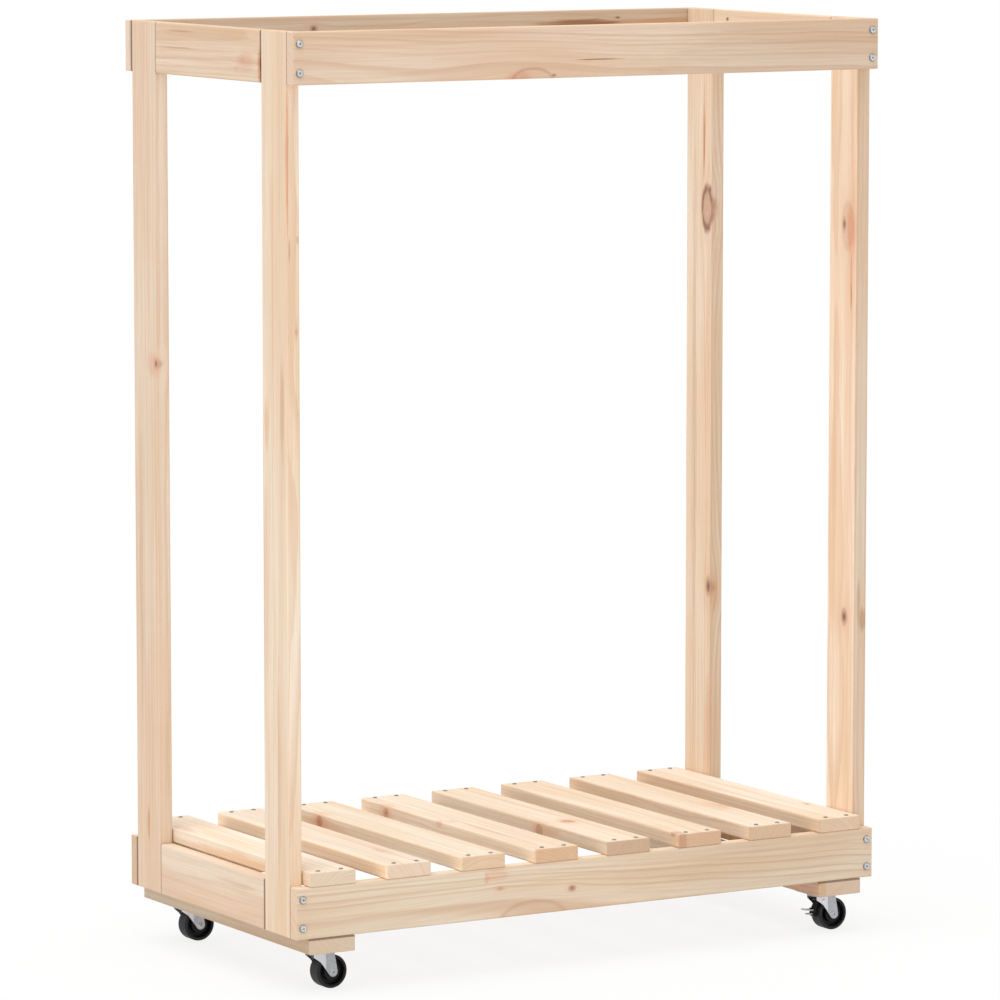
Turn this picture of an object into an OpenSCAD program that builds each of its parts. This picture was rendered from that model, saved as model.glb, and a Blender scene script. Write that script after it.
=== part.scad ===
// Fireside log cart: a tall open pine frame with a slatted floor, on four small swivel casters.
// Millimetres, +Z up, front towards -Y. The origin is on the floor, under the middle of the cart.

/* [Frame] */
// Length along the front, over the ends of the long rails
cart_length = 765; // [650:5:900]
// Depth over the faces of the front and back rails
cart_depth = 400; // [340:5:520]
// Height of the wooden frame, from under the lower rails to the top of the upper ones
frame_height = 1000; // [600:10:1300]
// Width of the planed boards
board_w = 58; // [52:1:66]
// Thickness of the planed boards
board_t = 16; // [16:0.5:20]
// Radius of the easing along a board's edges
edge_r = 2; // [1:0.25:3]
// Radius of the easing round a board's sawn ends
end_r = 1.2; // [0.6:0.1:2]
// Thickness of the battens that carry the casters
batten_t = 18; // [16:0.5:22]

/* [Slats] */
// Gap between an outer slat and the posts beside it
slat_end_gap = 1; // [0.5:0.25:4]

/* [Dowels] */
// Diameter of the dowels that join the side rails to the posts
dowel_d = 8; // [6:0.5:9]
// Length of a dowel, half in the post and half in the rail
dowel_length = 40; // [30:1:50]
// Distance of a dowel from the nearer long edge of its rail
dowel_inset = 17; // [14:0.5:20]

/* [Rail screws] */
// Shank diameter of the screws through the long rails
rail_screw_d = 4.5; // [3.5:0.25:5]
// Length of a rail screw under its head
rail_screw_length = 50; // [36:1:52]
// Head diameter of a rail screw
rail_screw_head_d = 9; // [7.5:0.25:10]
// Height of a rail screw's domed head
rail_screw_head_h = 2.4; // [1.8:0.1:3]
// Distance of a rail screw from the nearer long edge of its rail
rail_screw_inset = 13; // [9:0.5:16]

/* [Slat screws] */
// Shank diameter of the screws through the slats
slat_screw_d = 3; // [2.5:0.25:4]
// Length of a slat screw under its head
slat_screw_length = 35; // [26:1:40]
// Head diameter of a slat screw
slat_screw_head_d = 5.2; // [4.6:0.1:6.5]
// Height of a slat screw's low head
slat_screw_head_h = 1.3; // [0.8:0.1:2]

/* [Batten screws] */
// Shank diameter of the screws that hold the caster battens
batten_screw_d = 4; // [3:0.25:4.5]
// Length of a batten screw, its countersunk head included
batten_screw_length = 38; // [28:1:44]
// Head diameter of a batten screw
batten_screw_head_d = 7.6; // [6.5:0.1:9]

/* [Caster plate] */
// Side of the square mounting plate
plate_side = 42; // [40:0.5:46]
// Thickness of the plate
plate_t = 1.8; // [1.5:0.1:2.2]
// Radius of the plate's corners
plate_corner_r = 5; // [2:0.5:7]
// Distance between the plate's screw holes
plate_hole_pitch = 32; // [31:0.5:33]
// Diameter of the plate's screw holes
plate_hole_d = 4.2; // [4:0.1:5]
// Depth of the dish pressed into the plate round the king pin
dish_depth = 1.1; // [1:0.1:1.8]
// How far each swivel axis sits inboard of the middle of its batten
caster_shift = 2.5; // [0:0.5:5]
// Distance of a swivel axis from the face of the front or back rail
caster_inset = 41.5; // [36:0.5:60]

/* [Caster screws] */
// Shank diameter of the screws that hold the caster plates
caster_screw_d = 3.5; // [3:0.25:3.75]
// Length of a caster screw under its head
caster_screw_length = 14; // [10:0.5:15]
// Head diameter of a caster screw
caster_screw_head_d = 6.4; // [6:0.1:7]
// Height of a caster screw's head
caster_screw_head_h = 1.8; // [1.4:0.1:2.2]

/* [Swivel race] */
// Radius of the ring of balls about the swivel axis
race_r = 9.6; // [9.2:0.1:9.8]
// Diameter of a bearing ball
ball_d = 2.8; // [2.6:0.1:3]
// Number of balls in a ring
ball_count = 16; // [10:1:17]
// Clear height between the plate's dish and the fork's crown
race_space = 1.5; // [1.4:0.1:2]
// Diameter of the king pin that the fork turns on
king_pin_d = 6; // [5:0.25:7]
// Diameter of the king pin's riveted heads
king_head_d = 10.5; // [9:0.5:11.5]
// Thickness of the king pin's lower head
king_head_h = 1.3; // [1:0.1:1.5]

/* [Fork] */
// Thickness of the fork's sheet steel
fork_t = 1.5; // [1.2:0.1:1.8]
// Radius of the fork's round crown
crown_r = 13.3; // [13.1:0.1:14]
// Radius of the bend from the crown into its skirt
crown_bend = 1.8; // [1:0.1:1.9]
// Radius of the rounded end of a leg, about the axle
leg_eye_r = 5.5; // [5.2:0.1:6.5]
// Height of the crown's skirt at the front of the fork
skirt_h = 4.6; // [3.6:0.1:5]
// Clearance between the top of the wheel and the crown
wheel_headroom = 3.2; // [3:0.1:4.5]
// Clearance between a side of the tyre and a leg
wheel_side_gap = 0.8; // [0.6:0.1:1.4]

/* [Wheel] */
// Diameter over the tread
wheel_d = 38; // [36:0.5:40]
// Width of the tyre
wheel_w = 18.5; // [16:0.5:19.5]
// Distance by which the axle trails behind the swivel axis
caster_trail = 15; // [13.5:0.1:16]
// Thickness of the tyre over the rim
tyre_t = 3; // [2.5:0.25:3.5]
// Radius of the tread's rounded shoulders
tyre_shoulder_r = 1.6; // [1:0.1:2.2]
// Radius of the raised disc round the axle
hub_r = 10; // [9:0.25:11]
// Thickness of the web between the disc and the rim
web_t = 7; // [5:0.5:9]
// Diameter of the axle rivet
axle_d = 5; // [4:0.25:6]
// Diameter of the axle rivet's heads
axle_head_d = 6.8; // [6.4:0.1:7.5]
// Height of the axle rivet's heads
axle_head_h = 0.8; // [0.6:0.1:1.2]

/* [Brake] */
// Travel of the pedal from free to locked, in degrees
brake_travel = 5; // [4:0.5:6]
// Diameter of the pin that the brake arm turns on
brake_pin_d = 3; // [2.5:0.25:3.25]
// Radius of the arm's boss, about the pin
boss_r = 2.7; // [2.5:0.1:2.8]
// Width of the moulded brake arm
arm_w = 8; // [7.5:0.25:10]
// Height of the arm's back over the tread, at rest
arm_back = 4.2; // [4:0.1:5]
// Thickness of the pedal's sheet steel
pedal_t = 1.2; // [1:0.1:1.3]
// Width of the pedal
pedal_w = 8; // [7:0.5:12]
// Distance by which the pedal stands out in front of the arm
pedal_reach = 13; // [10:0.5:14]
// Width of the strap and the release lip behind the pedal
strap_w = 6; // [5:0.25:6.5]

/* [Fits] */
// Radial clearance of a screw or dowel in its hole
pilot_gap = 0.05; // [0.02:0.01:0.1]
// Radial clearance of a shaft that turns in a hole
running_gap = 0.08; // [0.05:0.01:0.1]
// Clearance between loose or moving faces that pass each other
free_gap = 0.3; // [0.25:0.05:0.4]
// Radial clearance between the wheel's rim and the tyre on it
tyre_seat_gap = 0.15; // [0.1:0.01:0.25]

/* [Hidden] */
$fn = 48;

PINE = [0.87, 0.76, 0.64];
BEECH = [0.80, 0.64, 0.46];
ZINC = [0.68, 0.69, 0.71];
BRIGHT_ZINC = [0.84, 0.85, 0.87];
BLACK = [0.13, 0.13, 0.13];

// Each corner is [end, side]: end -1 is left and 1 is right, side -1 is front and 1 is back.
FRONT_LEFT = [-1, -1];
BACK_LEFT = [-1, 1];
FRONT_RIGHT = [1, -1];
BACK_RIGHT = [1, 1];
CORNERS = [FRONT_LEFT, BACK_LEFT, FRONT_RIGHT, BACK_RIGHT];
BOTH = [-1, 1];

// Tightest bend inside a folded sheet
inner_bend = 0.3;
// How far a cutter stands out over the face that it cuts
over = 1;

// Places of the wheel and its caster, in the caster's own frame: the swivel axis is x = y = 0
// and the floor is z = 0.
wheel_r = wheel_d / 2;
leg_y = wheel_w / 2 + wheel_side_gap;
crown_under = wheel_d + wheel_headroom;
crown_top = crown_under + fork_t;
dish_under = crown_top + race_space;
caster_height = dish_under + plate_t + dish_depth;
plate_under = caster_height - plate_t;
race_z = crown_top + race_space / 2;
eye = [caster_trail, wheel_r];

// The brake pin stands above the front of the wheel, at this angle about the axle.
brake_pivot_angle = 132;
boss_gap = 1.6;
pin_way = [cos(brake_pivot_angle), sin(brake_pivot_angle)];
brake_pivot = eye + (wheel_r + boss_r + boss_gap) * pin_way;

// Places in the brake, from its pin: x of the arm's front face and of the strap inside it, and the
// heights of the tab and the release lip
arm_face = -8.8;
strap_x = arm_face + 1.8;
tab_z = -11.6;
lip_z = -16.4;
lip_reach = 7;
// Bend of the strap into the tab and the lip, and the much wider curve of the tab itself
bend_r = 1.6;
tab_r = 60;
strap_front = strap_x - bend_r;
// Front end of the tab, and the radius of its corners
tip_x = arm_face - pedal_reach;
tip_corner_r = 2.5;

// Places of the boards
half_l = cart_length / 2;
half_d = cart_depth / 2;
frame_z = caster_height + batten_t;
post_x = half_l - board_t / 2;
post_y = half_d - board_t - board_w / 2;
rail_y = half_d - board_t / 2;
lower_z = frame_z + board_w / 2;
upper_z = frame_z + frame_height - board_w / 2;
LEVELS = [lower_z, upper_z];
side_rail_length = cart_depth - 2 * board_t - 2 * board_w;
slat_top = frame_z + board_w + board_t;
slat_count = 8;
slat_reach = half_l - board_t - slat_end_gap - board_w / 2;
batten_x = half_l - board_t - board_w / 2;
// Fasteners stand at a quarter of a board's width to either side of its middle.
board_quarter = board_w / 4;

function slat_x(i) = slat_reach * (2 * i / (slat_count - 1) - 1);

// ---- Boards ----

// A rectangle with rounded corners, centred
module eased_rect(w, t, r) {
    square([w - 2 * r, t], center = true);
    square([w, t - 2 * r], center = true);
    for (x = BOTH, y = BOTH)
        translate([x * (w / 2 - r), y * (t / 2 - r)])
            circle(r = r);
}

// A planed board standing along Z, its width along Y, centred: long edges and ends are eased
module board(length, t = board_t) {
    color(PINE)
        intersection() {
            linear_extrude(length, center = true)
                eased_rect(t, board_w, edge_r);
            rotate([90, 0, 0])
                linear_extrude(board_w, center = true)
                    eased_rect(t, length, end_r);
            rotate([90, 0, 90])
                linear_extrude(t, center = true)
                    eased_rect(board_w, length, end_r);
        }
}

module post(corner) {
    color(PINE)
        difference() {
            translate([corner[0] * post_x, corner[1] * post_y, frame_z + frame_height / 2])
                board(frame_height);
            at_rail_screws([corner[1]], LEVELS, [corner[0]])
                screw_hole(rail_screw_d, rail_screw_length);
            at_dowels([corner[0]], [corner[1]], LEVELS)
                dowel_hole();
        }
}

module side_rail(end, level) {
    color(PINE)
        difference() {
            translate([end * post_x, 0, level])
                rotate([90, 0, 0])
                    board(side_rail_length);
            at_dowels([end], BOTH, [level])
                dowel_hole();
        }
}

// A long rail, lapped over the posts' edges: its width is upright and its thickness along Y
module long_rail_blank(side, level) {
    translate([0, side * rail_y, level])
        rotate([0, 90, 0])
            rotate([0, 0, 90])
                board(cart_length);
}

module top_rail(side) {
    color(PINE)
        difference() {
            long_rail_blank(side, upper_z);
            at_rail_screws([side], [upper_z], BOTH)
                screw_hole(rail_screw_d, rail_screw_length);
        }
}

module bottom_rail(side) {
    color(PINE)
        difference() {
            long_rail_blank(side, lower_z);
            at_rail_screws([side], [lower_z], BOTH)
                screw_hole(rail_screw_d, rail_screw_length);
            at_slat_screws([0 : slat_count - 1], [side])
                screw_hole(slat_screw_d, slat_screw_length);
            at_batten_screws(BOTH, [side])
                screw_hole(batten_screw_d, batten_screw_length);
        }
}

// A board lying flat from the front rails' faces to the back rails' faces
module cross_board(x, top, t) {
    translate([x, 0, top - t / 2])
        rotate([90, 90, 0])
            board(cart_depth, t);
}

module slat(i) {
    color(PINE)
        difference() {
            cross_board(slat_x(i), slat_top, board_t);
            at_slat_screws([i], BOTH)
                screw_hole(slat_screw_d, slat_screw_length);
        }
}

module caster_batten(end) {
    color(PINE)
        difference() {
            cross_board(end * batten_x, frame_z, batten_t);
            at_batten_screws([end], BOTH)
                countersunk_hole(batten_screw_head_d, batten_screw_d, batten_screw_length);
            for (side = BOTH)
                at_caster([end, side])
                    at_plate_holes()
                        screw_hole(caster_screw_d, caster_screw_length - plate_t);
        }
}

// ---- Screws and dowels: each stands along Z with its seat at z = 0 and its head above ----

// A cap cut from a ball, of the given diameter and height
module dome(d, h) {
    ball_r = (d * d / 4 + h * h) / (2 * h);
    intersection() {
        translate([0, 0, h - ball_r])
            sphere(r = ball_r);
        cylinder(d = d, h = h);
    }
}

// The cross-shaped recess for the driver, cut down from the top of a head
module driver_recess(span, depth) {
    arm = span / 4;
    for (turn = [0, 90])
        rotate([0, 0, turn])
            cube([span, arm, 2 * depth], center = true);
}

module screw_shank(d, length) {
    point = 1.5 * d;
    translate([0, 0, point - length])
        cylinder(d = d, h = length - point);
    translate([0, 0, -length])
        cylinder(d1 = d / 6, d2 = d, h = point);
}

module domed_screw(head_d, head_h, d, length) {
    recess_share = 0.42;
    difference() {
        union() {
            dome(head_d, head_h);
            screw_shank(d, length);
        }
        translate([0, 0, head_h])
            driver_recess(head_d * recess_share, head_h / 2);
    }
}

module countersunk_screw(head_d, d, length) {
    head_h = (head_d - d) / 2;
    recess_share = 0.5;
    difference() {
        union() {
            translate([0, 0, -head_h])
                cylinder(d1 = d, d2 = head_d, h = head_h);
            screw_shank(d, length);
        }
        driver_recess(head_d * recess_share, head_h / 2);
    }
}

module screw_hole(d, length) {
    translate([0, 0, -length - pilot_gap])
        cylinder(d = d + 2 * pilot_gap, h = length + 2 * pilot_gap + over);
}

module countersunk_hole(head_d, d, length) {
    screw_hole(d, length);
    head_h = (head_d - d) / 2;
    translate([0, 0, -head_h])
        cylinder(d1 = d + 2 * pilot_gap, d2 = head_d + 2 * pilot_gap, h = head_h);
    cylinder(d = head_d + 2 * pilot_gap, h = over);
}

module dowel() {
    cylinder(d = dowel_d, h = dowel_length, center = true);
}

module dowel_hole() {
    cylinder(d = dowel_d + 2 * pilot_gap, h = dowel_length + 2 * free_gap, center = true);
}

module at_rail_screws(sides, levels, ends) {
    for (side = sides, level = levels, end = ends, row = BOTH)
        translate([end * post_x, side * half_d, level + row * (board_w / 2 - rail_screw_inset)])
            rotate([-90 * side, 0, 0])
                children();
}

module at_dowels(ends, sides, levels) {
    for (end = ends, side = sides, level = levels, row = BOTH)
        translate([end * post_x, side * side_rail_length / 2, level + row * (board_w / 2 - dowel_inset)])
            rotate([90, 0, 0])
                children();
}

module at_slat_screws(slats, sides) {
    for (i = slats, side = sides, row = BOTH)
        translate([slat_x(i) + row * board_quarter, side * rail_y, slat_top])
            children();
}

module at_batten_screws(ends, sides) {
    for (end = ends, side = sides, row = BOTH)
        translate([end * batten_x + row * board_quarter, side * rail_y, caster_height])
            rotate([180, 0, 0])
                children();
}

module side_rail_dowels() {
    color(BEECH)
        at_dowels(BOTH, BOTH, LEVELS)
            dowel();
}

module rail_screws() {
    color(BRIGHT_ZINC)
        at_rail_screws(BOTH, LEVELS, BOTH)
            domed_screw(rail_screw_head_d, rail_screw_head_h, rail_screw_d, rail_screw_length);
}

module slat_screws() {
    color(ZINC)
        at_slat_screws([0 : slat_count - 1], BOTH)
            domed_screw(slat_screw_head_d, slat_screw_head_h, slat_screw_d, slat_screw_length);
}

module batten_screws() {
    color(ZINC)
        at_batten_screws(BOTH, BOTH)
            countersunk_screw(batten_screw_head_d, batten_screw_d, batten_screw_length);
}

module caster_screws() {
    color(ZINC)
        for (corner = CORNERS)
            at_caster(corner)
                at_plate_holes()
                    translate([0, 0, plate_t])
                        domed_screw(caster_screw_head_d, caster_screw_head_h, caster_screw_d,
                                    caster_screw_length);
}

// ---- Casters: drawn about the swivel axis, with the floor at z = 0 and the wheel trailing to +X ----

module at_caster(corner) {
    translate([corner[0] * (batten_x - caster_shift), corner[1] * (half_d - caster_inset), 0])
        children();
}

// The plate's four holes, seen from below: z = 0 is the plate's top face and +Z points down
module at_plate_holes() {
    for (x = BOTH, y = BOTH)
        translate([x * plate_hole_pitch / 2, y * plate_hole_pitch / 2, caster_height])
            rotate([180, 0, 0])
                children();
}

// The groove that the balls run in, a ring about the swivel axis
module ball_groove() {
    translate([0, 0, race_z])
        rotate_extrude()
            translate([race_r, 0])
                circle(d = ball_d + 2 * free_gap);
}

// Square plate with its middle pressed down into a dish, whose underside is the upper race
module caster_plate(corner) {
    race_wall = 1;
    race_edge = race_r + ball_d / 2 + free_gap + race_wall;
    color(ZINC)
        at_caster(corner)
            difference() {
                union() {
                    translate([0, 0, plate_under])
                        linear_extrude(plate_t)
                            eased_rect(plate_side, plate_side, plate_corner_r);
                    translate([0, 0, dish_under])
                        cylinder(r1 = race_edge, r2 = race_edge + dish_depth, h = dish_depth);
                }
                translate([0, 0, caster_height - dish_depth])
                    cylinder(r1 = race_edge - plate_t, r2 = race_edge + dish_depth,
                             h = dish_depth + plate_t);
                translate([0, 0, dish_under - over])
                    cylinder(d = king_pin_d + 2 * pilot_gap, h = caster_height);
                ball_groove();
                at_plate_holes()
                    translate([0, 0, -over])
                        cylinder(d = plate_hole_d, h = plate_t + 2 * over);
            }
}

// Rivet through plate and crown: its upper head fills the dish, its lower one holds the fork up
module king_pin() {
    pin_bottom = crown_under - free_gap;
    dish_floor = caster_height - dish_depth;
    head_taper = 1;
    translate([0, 0, pin_bottom])
        cylinder(d = king_pin_d, h = dish_floor - pin_bottom);
    translate([0, 0, dish_floor])
        cylinder(d1 = king_head_d, d2 = king_head_d - head_taper, h = dish_depth - free_gap);
    translate([0, 0, pin_bottom])
        mirror([0, 0, 1])
            dome(king_head_d, king_head_h);
}

module king_pins() {
    color(ZINC)
        for (corner = CORNERS)
            at_caster(corner)
                king_pin();
}

module race_balls() {
    color(BRIGHT_ZINC)
        for (corner = CORNERS)
            at_caster(corner)
                for (i = [0 : ball_count - 1])
                    rotate([0, 0, i * 360 / ball_count])
                        translate([race_r, 0, race_z])
                            sphere(d = ball_d);
}

// The point where a line from p touches the circle about c, on the side given by 1 or -1
function touch_point(p, c, r, side) =
    let (v = p - c, turn = atan2(v[1], v[0]) + side * acos(r / norm(v)))
    c + r * [cos(turn), sin(turn)];

// Side view of the fork, drawn with x across and the height up: the crown with its front skirt, a
// leading edge in two slants that clears the brake, and a leg that narrows to an eye at the axle
module fork_side() {
    front = -crown_r - over;
    top = crown_top + over;
    skirt_bottom = crown_top - skirt_h;
    wing_share = 0.7;
    wing_drop = 0.6;
    knee_ahead = 1.5;
    knee_drop = 11.2;
    leg_behind_eye = 1.2;
    wing = [-wing_share * crown_r, skirt_bottom - wing_drop];
    knee = [-knee_ahead, crown_top - knee_drop];
    leg_top = [caster_trail + leg_behind_eye, top];
    translate(eye)
        circle(r = leg_eye_r);
    polygon([
        leg_top,
        [front, top],
        [front, skirt_bottom],
        wing,
        knee,
        touch_point(knee, eye, leg_eye_r, 1),
        touch_point(leg_top, eye, leg_eye_r, -1)
    ]);
}

// The round crown with a bend into its skirt, grown inwards by inset
module crown_cup(inset) {
    r = crown_r - inset;
    bend = max(crown_bend - inset, inner_bend);
    rotate_extrude() {
        square([r - bend, crown_top - inset]);
        square([r, crown_top - inset - bend]);
        translate([r - bend, crown_top - inset - bend])
            circle(r = bend);
    }
}

// The straight channel behind the crown, open below, that the two legs are cut from
module leg_channel(inset, back) {
    half = leg_y + fork_t - inset;
    bend = max(crown_bend - inset, inner_bend);
    rotate([90, 0, 90])
        linear_extrude(back) {
            translate([-half + bend, 0])
                square([2 * (half - bend), crown_top - inset]);
            translate([-half, 0])
                square([2 * half, crown_top - inset - bend]);
            for (y = BOTH)
                translate([y * (half - bend), crown_top - inset - bend])
                    circle(r = bend);
        }
}

// Pressed from one sheet: crown with the lower race, wings at the front and two flat legs
module fork(corner, braked) {
    reach = caster_trail + leg_eye_r + over;
    through = 4 * crown_r;
    color(ZINC)
        at_caster(corner)
            difference() {
                intersection() {
                    rotate([90, 0, 0])
                        linear_extrude(through, center = true)
                            fork_side();
                    union() {
                        crown_cup(0);
                        leg_channel(0, reach);
                    }
                }
                crown_cup(fork_t);
                translate([-2 * crown_r, 0, 0])
                    leg_channel(fork_t, 2 * crown_r + reach + over);
                cylinder(d = king_pin_d + 2 * running_gap, h = caster_height);
                ball_groove();
                at_axle_line()
                    cylinder(d = axle_d + 2 * pilot_gap, h = through, center = true);
                if (braked)
                    at_brake_pivot()
                        cylinder(d = brake_pin_d + 2 * pilot_gap, h = through, center = true);
            }
}

// A pin along Z, centred, with a low riveted head and a dimple at either end
module rivet(d, grip, head_d, head_h, dimple_d, dimple_h) {
    difference() {
        union() {
            cylinder(d = d, h = grip, center = true);
            for (end = [0, 1])
                mirror([0, 0, end])
                    translate([0, 0, grip / 2])
                        dome(head_d, head_h);
        }
        for (end = BOTH)
            translate([0, 0, end * (grip / 2 + head_h)])
                cylinder(d = dimple_d, h = 2 * dimple_h, center = true);
    }
}

// Along the axle, about its middle
module at_axle_line() {
    translate([eye[0], 0, eye[1]])
        rotate([90, 0, 0])
            children();
}

module axle(corner) {
    grip = 2 * (leg_y + fork_t);
    dimple_d = 0.6 * axle_d;
    dimple_h = 1.4 * axle_head_h;
    color(BRIGHT_ZINC)
        at_caster(corner)
            at_axle_line()
                rivet(axle_d, grip, axle_head_d, axle_head_h, dimple_d, dimple_h);
}

// ---- Wheel ----

// Section of the moulded centre: a boss at the axle, a flat disc, a deep ring-shaped recess and a rim
module wheel_section() {
    boss_wall = 2.2;
    rim_wall = 1;
    draft = 0.5;
    face_step = 0.5;
    bore_r = axle_d / 2 + running_gap;
    bore_end = leg_y - free_gap;
    face = wheel_w / 2 - face_step;
    rim_r = wheel_r - tyre_t - tyre_seat_gap;
    recess_r = wheel_r - tyre_t - rim_wall;
    half = [
        [bore_r, bore_end], [axle_d / 2 + boss_wall, bore_end], [axle_d / 2 + boss_wall + draft, face],
        [hub_r - draft, face], [hub_r, face - draft], [hub_r + draft, web_t / 2],
        [recess_r - draft, web_t / 2], [recess_r, face], [rim_r, face]
    ];
    count = len(half);
    polygon(concat(half, [for (i = [count - 1 : -1 : 0]) [half[i][0], -half[i][1]]]));
}

module wheel(corner) {
    color(BLACK)
        at_caster(corner)
            at_axle_line()
                rotate_extrude()
                    wheel_section();
}

// Section of the tyre, from the rim outwards, with rounded shoulders
module tyre_section() {
    flank = tyre_t - tyre_shoulder_r;
    tread = wheel_w - 2 * tyre_shoulder_r;
    intersection() {
        translate([0, -wheel_w / 2])
            square([tyre_t, wheel_w]);
        union() {
            translate([0, -wheel_w / 2])
                square([flank, wheel_w]);
            translate([0, -tread / 2])
                square([tyre_t, tread]);
            for (y = BOTH)
                translate([flank, y * tread / 2])
                    circle(r = tyre_shoulder_r);
        }
    }
}

module tyre(corner) {
    color(BLACK)
        at_caster(corner)
            at_axle_line()
                rotate_extrude()
                    translate([wheel_r - tyre_t, 0])
                        tyre_section();
}

// ---- Brake, on the right-hand casters: side views are drawn about its pin, x across, height up ----

module at_brake_pivot() {
    translate([brake_pivot[0], 0, brake_pivot[1]])
        rotate([90, 0, 0])
            children();
}

module brake_pin(corner) {
    grip = 2 * crown_r;
    head_lip = 1;
    head_d = brake_pin_d + 2 * head_lip;
    head_h = 0.8;
    dimple_d = brake_pin_d / 3;
    color(BRIGHT_ZINC)
        at_caster(corner)
            at_brake_pivot()
                rivet(brake_pin_d, grip, head_d, head_h, dimple_d, head_h);
}

// The sheet pedal is a tab that curves up towards its tip. Behind it a narrower strap turns down
// and then forward again into a release lip. The moulded arm holds the strap.

// A bend in a sheet: the part of a ring about c between two angles at most a right angle apart
module sheet_bend(c, r, t, from, to) {
    far = 3 * r;
    translate(c)
        intersection() {
            difference() {
                circle(r = r + t / 2);
                circle(r = r - t / 2);
            }
            polygon([[0, 0], far * [cos(from), sin(from)], far * [cos(to), sin(to)]]);
        }
}

// Side view of the tab, grown by a clearance on every side but its tip
module tab_side(grow) {
    tip_angle = asin((strap_front - tip_x) / tab_r);
    back_angle = asin(grow / tab_r);
    sheet_bend([strap_front, tab_z + tab_r], tab_r, pedal_t + 2 * grow, 270 - tip_angle, 270 + back_angle);
}

// Side view of the strap, from under the tab to the tip of the lip, grown in the same way
module strap_side(grow) {
    t = pedal_t + 2 * grow;
    lip_tip = arm_face - lip_reach;
    sheet_bend([strap_front, tab_z - bend_r], bend_r, t, 0, 90);
    translate([strap_x - t / 2, lip_z + bend_r])
        square([t, tab_z - lip_z - 2 * bend_r]);
    sheet_bend([strap_front, lip_z + bend_r], bend_r, t, -90, 0);
    translate([lip_tip, lip_z - t / 2])
        square([strap_front - lip_tip, t]);
}

module brake_pedal(corner) {
    plan_length = strap_front - tip_x + tip_corner_r;
    color(ZINC)
        at_caster(corner) {
            intersection() {
                at_brake_pivot()
                    linear_extrude(pedal_w, center = true)
                        tab_side(0);
                translate([brake_pivot[0] + tip_x + plan_length / 2, 0, 0])
                    linear_extrude(caster_height)
                        eased_rect(plan_length, pedal_w, tip_corner_r);
            }
            at_brake_pivot()
                linear_extrude(strap_w, center = true)
                    strap_side(0);
        }
}

// Side view of the arm: a band that follows the tread and a block with a flat face at its end. Its
// hollow back fits the tread when the pedal is down, so at rest it is turned back by the travel.
module arm_side() {
    hub = eye - brake_pivot;
    far = 3 * wheel_r;
    over_tab = 1.6;
    under_lip = 2.2;
    heel_back = 3;
    heel_drop = 2.2;
    block_top = tab_z + over_tab;
    block_foot = lip_z - under_lip;
    heel = [arm_face + heel_back, block_foot - heel_drop];
    difference() {
        union() {
            intersection() {
                translate(hub)
                    circle(r = wheel_r + arm_back);
                polygon([hub, hub + far * pin_way, [-far, far], [-far, hub[1]]]);
            }
            polygon([
                [arm_face, block_top], [arm_face, block_foot], heel, [hub[0], heel[1]], [hub[0], block_top]
            ]);
        }
        rotate(-brake_travel)
            translate(hub)
                circle(r = wheel_r + free_gap);
    }
}

module brake_arm(corner) {
    wall = crown_r - fork_t;
    boss_x = boss_r + abs(brake_pivot[0]);
    boss_length = 2 * (sqrt(wall * wall - boss_x * boss_x) - free_gap);
    slot_over = 2;
    color(BLACK)
        at_caster(corner)
            at_brake_pivot()
                difference() {
                    union() {
                        cylinder(r = boss_r, h = boss_length, center = true);
                        linear_extrude(arm_w, center = true)
                            arm_side();
                    }
                    cylinder(d = brake_pin_d + 2 * running_gap, h = 2 * crown_r, center = true);
                    linear_extrude(pedal_w + slot_over, center = true)
                        tab_side(pilot_gap);
                    linear_extrude(strap_w + 2 * pilot_gap, center = true)
                        strap_side(pilot_gap);
                }
}

post(FRONT_LEFT);  // post_front_left
post(BACK_LEFT);  // post_back_left
post(FRONT_RIGHT);  // post_front_right
post(BACK_RIGHT);  // post_back_right
side_rail(-1, lower_z);  // bottom_side_rail_left
side_rail(1, lower_z);  // bottom_side_rail_right
side_rail(-1, upper_z);  // top_side_rail_left
side_rail(1, upper_z);  // top_side_rail_right
bottom_rail(-1);  // bottom_rail_front
bottom_rail(1);  // bottom_rail_back
top_rail(-1);  // top_rail_front
top_rail(1);  // top_rail_back
slat(0);  // slat_1
slat(1);  // slat_2
slat(2);  // slat_3
slat(3);  // slat_4
slat(4);  // slat_5
slat(5);  // slat_6
slat(6);  // slat_7
slat(7);  // slat_8
caster_batten(-1);  // caster_batten_left
caster_batten(1);  // caster_batten_right
side_rail_dowels();
rail_screws();
slat_screws();
batten_screws();
caster_screws();
caster_plate(FRONT_LEFT);  // caster_plate_fl
caster_plate(BACK_LEFT);  // caster_plate_bl
caster_plate(FRONT_RIGHT);  // caster_plate_fr
caster_plate(BACK_RIGHT);  // caster_plate_br
king_pins();
race_balls();
fork(FRONT_LEFT, false);  // fork_fl
fork(BACK_LEFT, false);  // fork_bl
fork(FRONT_RIGHT, true);  // fork_fr
fork(BACK_RIGHT, true);  // fork_br
axle(FRONT_LEFT);  // axle_fl
axle(BACK_LEFT);  // axle_bl
axle(FRONT_RIGHT);  // axle_fr
axle(BACK_RIGHT);  // axle_br
wheel(FRONT_LEFT);  // wheel_fl
wheel(BACK_LEFT);  // wheel_bl
wheel(FRONT_RIGHT);  // wheel_fr
wheel(BACK_RIGHT);  // wheel_br
tyre(FRONT_LEFT);  // tyre_fl
tyre(BACK_LEFT);  // tyre_bl
tyre(FRONT_RIGHT);  // tyre_fr
tyre(BACK_RIGHT);  // tyre_br
brake_pin(FRONT_RIGHT);  // brake_pin_fr
brake_pin(BACK_RIGHT);  // brake_pin_br
brake_pedal(FRONT_RIGHT);  // brake_pedal_fr
brake_pedal(BACK_RIGHT);  // brake_pedal_br
brake_arm(FRONT_RIGHT);  // brake_arm_fr
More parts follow.
